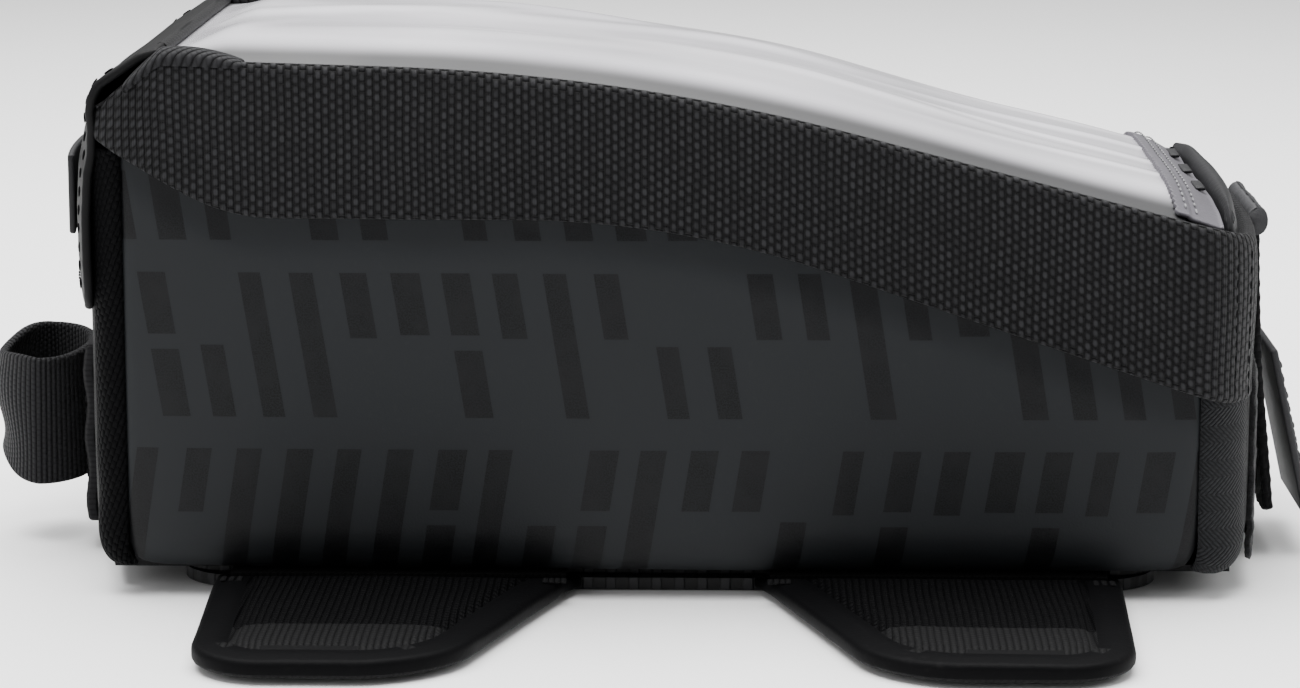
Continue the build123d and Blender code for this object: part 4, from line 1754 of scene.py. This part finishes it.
class TankBagStudio(bpy.types.PropertyGroup):
    """Light and camera."""

    top_power: bpy.props.FloatProperty(
        name="Top Light",
        description="Power of the large light overhead",
        default=40.0,
        unit="POWER",
    )
    side_power: bpy.props.FloatProperty(
        name="Left Light", description="Power of the light on the left", default=2.6, unit="POWER"
    )
    rim_power: bpy.props.FloatProperty(
        name="Right Light", description="Power of the light on the right", default=2.8, unit="POWER"
    )
    room: bpy.props.FloatProperty(
        name="Room Light", description="Brightness of the pale room", default=0.42
    )
    lens: bpy.props.FloatProperty(
        name="Lens", description="Focal length of the camera, in millimetres", default=110.0
    )


# ---------------------------------------------------------------- operators


class TANKBAG_OT_stage(bpy.types.Operator):
    """Adds the pale floor, the soft lights and the camera"""

    bl_idname = "tankbag.stage"
    bl_label = "Stage"

    def execute(self, context):
        studio = context.scene.tank_bag_studio
        world = bpy.data.worlds.new("pale room")
        context.scene.world = world
        world.use_nodes = True
        background = world.node_tree.nodes["Background"]
        background.inputs["Color"].default_value = (1.0, 1.0, 1.0, 1.0)
        background.inputs["Strength"].default_value = studio.room

        bench, ports, where = blank("studio floor", 0.9, 0.2)
        bench.join(
            bench.blend(
                bench.grain(where["Object"], 8.0), (0.9, 0.9, 0.9, 1), (0.93, 0.93, 0.93, 1)
            ),
            ports["Base Color"],
        )
        bm = bmesh.new()
        bmesh.ops.create_grid(bm, x_segments=2, y_segments=2, size=6.0)
        bmesh.ops.translate(bm, verts=bm.verts, vec=(0, 0, -0.2 * MM))
        to_object("studio_floor", bm, FINISHES["studio floor"])

        for name, power, size, spot in (
            ("top_light", studio.top_power, 1.1, (-0.1, 0.1, 0.95)),
            ("left_light", studio.side_power, 0.7, (-0.85, -0.55, 0.4)),
            ("right_light", studio.rim_power, 0.5, (0.8, 0.1, 0.5)),
        ):
            lamp = bpy.data.lights.new(name, "AREA")
            lamp.energy = power
            lamp.size = size
            light = bpy.data.objects.new(name, lamp)
            light.location = spot
            light.rotation_euler = (
                Vector((0, 0, 0.05)) - Vector(spot)
            ).to_track_quat("-Z", "Y").to_euler()
            context.scene.collection.objects.link(light)

        lens = bpy.data.cameras.new("camera")
        lens.lens = studio.lens
        lens.sensor_width = 36.0
        lens.clip_start = 0.01
        lens.clip_end = 20.0
        camera = bpy.data.objects.new("camera", lens)
        camera.location = (0.0125, -0.7614, 0.1806)
        camera.rotation_euler = (math.radians(90.0 - 10.64), 0.0, math.radians(1.27))
        context.scene.collection.objects.link(camera)
        context.scene.camera = camera
        return {"FINISHED"}


class TANKBAG_OT_finishes(bpy.types.Operator):
    """Makes every cloth, film, tape and rubber finish"""

    bl_idname = "tankbag.finishes"
    bl_label = "Finishes"

    def execute(self, context):
        make_finishes(context.scene.tank_bag_colours, context.scene.tank_bag_sizes)
        return {"FINISHED"}


class TANKBAG_OT_walls(bpy.types.Operator):
    """Builds the padded side, front and rear covers"""

    bl_idname = "tankbag.walls"
    bl_label = "Walls"

    def execute(self, context):
        sizes = context.scene.tank_bag_sizes
        for left in (False, True):
            build_side_cover(sizes, left)
        front = travel_at(97.6)
        rear = travel_at(-99.4)
        build_end_cover(
            "front_cover",
            front,
            2 * HALF_WAY - front,
            48.0,
            0.6,
            FINISHES["panel weave"],
            "coated_tarpaulin",
            "front_panel",
        )
        build_end_cover(
            "rear_cover",
            -rear,
            rear,
            82.0,
            0.5,
            FINISHES["panel weave"],
            "coated_tarpaulin",
            "rear_panel",
        )
        return {"FINISHED"}


class TANKBAG_OT_bindings(bpy.types.Operator):
    """Builds the four corner bindings"""

    bl_idname = "tankbag.bindings"
    bl_label = "Corner Bindings"

    def execute(self, context):
        for left in (False, True):
            hand = "left" if left else "right"
            build_binding(
                f"rear_binding_cover_{hand}",
                travel_at(-104.6) - 1.5,
                travel_at(-98.6),
                83.0,
                left,
                FINISHES["binding weave"],
                f"rear_binding_{hand}",
                1.2,
            )
            build_binding(
                f"front_binding_cover_{hand}",
                travel_at(96.6),
                travel_at(106.0),
                44.0,
                left,
                FINISHES["twill tape"],
                f"front_binding_{hand}",
                1.6,
            )
        return {"FINISHED"}


class TANKBAG_OT_lid(bpy.types.Operator):
    """Builds the lid's skirt, film, trim, roll and rear ears"""

    bl_idname = "tankbag.lid"
    bl_label = "Lid"

    def execute(self, context):
        sizes = context.scene.tank_bag_sizes
        build_skirt(sizes)
        build_film(sizes)
        build_trim(sizes)
        build_front_roll(sizes)
        build_ears()
        return {"FINISHED"}


class TANKBAG_OT_flap(bpy.types.Operator):
    """Builds the rear pocket flap with its patch and stitches"""

    bl_idname = "tankbag.flap"
    bl_label = "Pocket Flap"

    def execute(self, context):
        build_flap()
        return {"FINISHED"}


class TANKBAG_OT_loop(bpy.types.Operator):
    """Builds the rear webbing loop and its strip"""

    bl_idname = "tankbag.loop"
    bl_label = "Grab Loop"

    def execute(self, context):
        build_grab_loop()
        build_tether_strip()
        return {"FINISHED"}


class TANKBAG_OT_tab(bpy.types.Operator):
    """Builds the front closure tab"""

    bl_idname = "tankbag.tab"
    bl_label = "Closure Tab"

    def execute(self, context):
        build_tab()
        return {"FINISHED"}


class TANKBAG_OT_tapes(bpy.types.Operator):
    """Builds the loop tape strips on the front and rear walls"""

    bl_idname = "tankbag.tapes"
    bl_label = "Loop Tapes"

    def execute(self, context):
        build_loop_strip(
            "front_loop_tape", HALF_WAY, 43.0, 6.4, 40.0, 1.9, "bag_body", "closure_loop_strip"
        )
        build_loop_strip(
            "rear_loop_tape", 0.0, 30.0, 56.0, 72.0, 1.4, "bag_body", "flap_loop_strip"
        )
        return {"FINISHED"}


class TANKBAG_OT_linings(bpy.types.Operator):
    """Builds the lining of the main compartment and of the lid"""

    bl_idname = "tankbag.linings"
    bl_label = "Linings"

    def execute(self, context):
        build_main_lining()
        build_lid_lining()
        return {"FINISHED"}


class TANKBAG_OT_wings(bpy.types.Operator):
    """Builds the four padded magnet wings"""

    bl_idname = "tankbag.wings"
    bl_label = "Magnet Wings"

    def execute(self, context):
        for end in ("front", "rear"):
            for left in (False, True):
                build_wing(end, left)
        return {"FINISHED"}


class TANKBAG_OT_carried_parts(bpy.types.Operator):
    """Gives the carried-over parts their finishes"""

    bl_idname = "tankbag.carried_parts"
    bl_label = "Carried Parts"

    def execute(self, context):
        wings = [f"{end}_{hand}_wing" for end in ("front", "rear") for hand in ("right", "left")]
        dress("stiff board", "base_board", "lid_stiffener")
        dress("grip rubber", "base_pad", *[f"{wing}_backing" for wing in wings])
        dress("magnet plating", *[f"{wing}_magnets" for wing in wings])
        dress("base cloth", "bottom_panel", "pocket_gusset")
        dress("edge tape", "hinge_piping", "mouth_binding", "wing_hinge_tape", "flap_piping")
        dress("pocket cloth", "pocket_backing")
        dress("foam", "side_foam_left", "side_foam_right", "front_foam")
        dress("hook tape", "flap_hook_strip")
        dress("edge tape", "hinge_gusset")
        return {"FINISHED"}


STEPS = (
    TANKBAG_OT_stage,
    TANKBAG_OT_finishes,
    TANKBAG_OT_walls,
    TANKBAG_OT_bindings,
    TANKBAG_OT_lid,
    TANKBAG_OT_flap,
    TANKBAG_OT_loop,
    TANKBAG_OT_tab,
    TANKBAG_OT_tapes,
    TANKBAG_OT_linings,
    TANKBAG_OT_wings,
    TANKBAG_OT_carried_parts,
)


class TANKBAG_PT_pieces(bpy.types.Panel):
    """Lists the bag's pieces in the order they are made"""

    bl_idname = "TANKBAG_PT_pieces"
    bl_label = "Tank Bag"
    bl_space_type = "VIEW_3D"
    bl_region_type = "UI"
    bl_category = "Tank Bag"

    def draw(self, context):
        for step in STEPS:
            self.layout.operator(step.bl_idname)


GROUPED_SETTINGS = (
    ("tank_bag_sizes", TankBagSizes),
    ("tank_bag_colours", TankBagColours),
    ("tank_bag_studio", TankBagStudio),
)


def register():
    """Adds the settings, operators and panel."""
    for name, group in GROUPED_SETTINGS:
        bpy.utils.register_class(group)
        setattr(bpy.types.Scene, name, bpy.props.PointerProperty(type=group))
    for item in (*STEPS, TANKBAG_PT_pieces):
        bpy.utils.register_class(item)


def unregister():
    """Removes them again."""
    for item in (TANKBAG_PT_pieces, *reversed(STEPS)):
        bpy.utils.unregister_class(item)
    for name, group in reversed(GROUPED_SETTINGS):
        delattr(bpy.types.Scene, name)
        bpy.utils.unregister_class(group)


def main():
    """Makes every piece in order."""
    register()
    for step in STEPS:
        area, name = step.bl_idname.split(".")
        getattr(getattr(bpy.ops, area), name)()


if __name__ == "__main__":
    main()
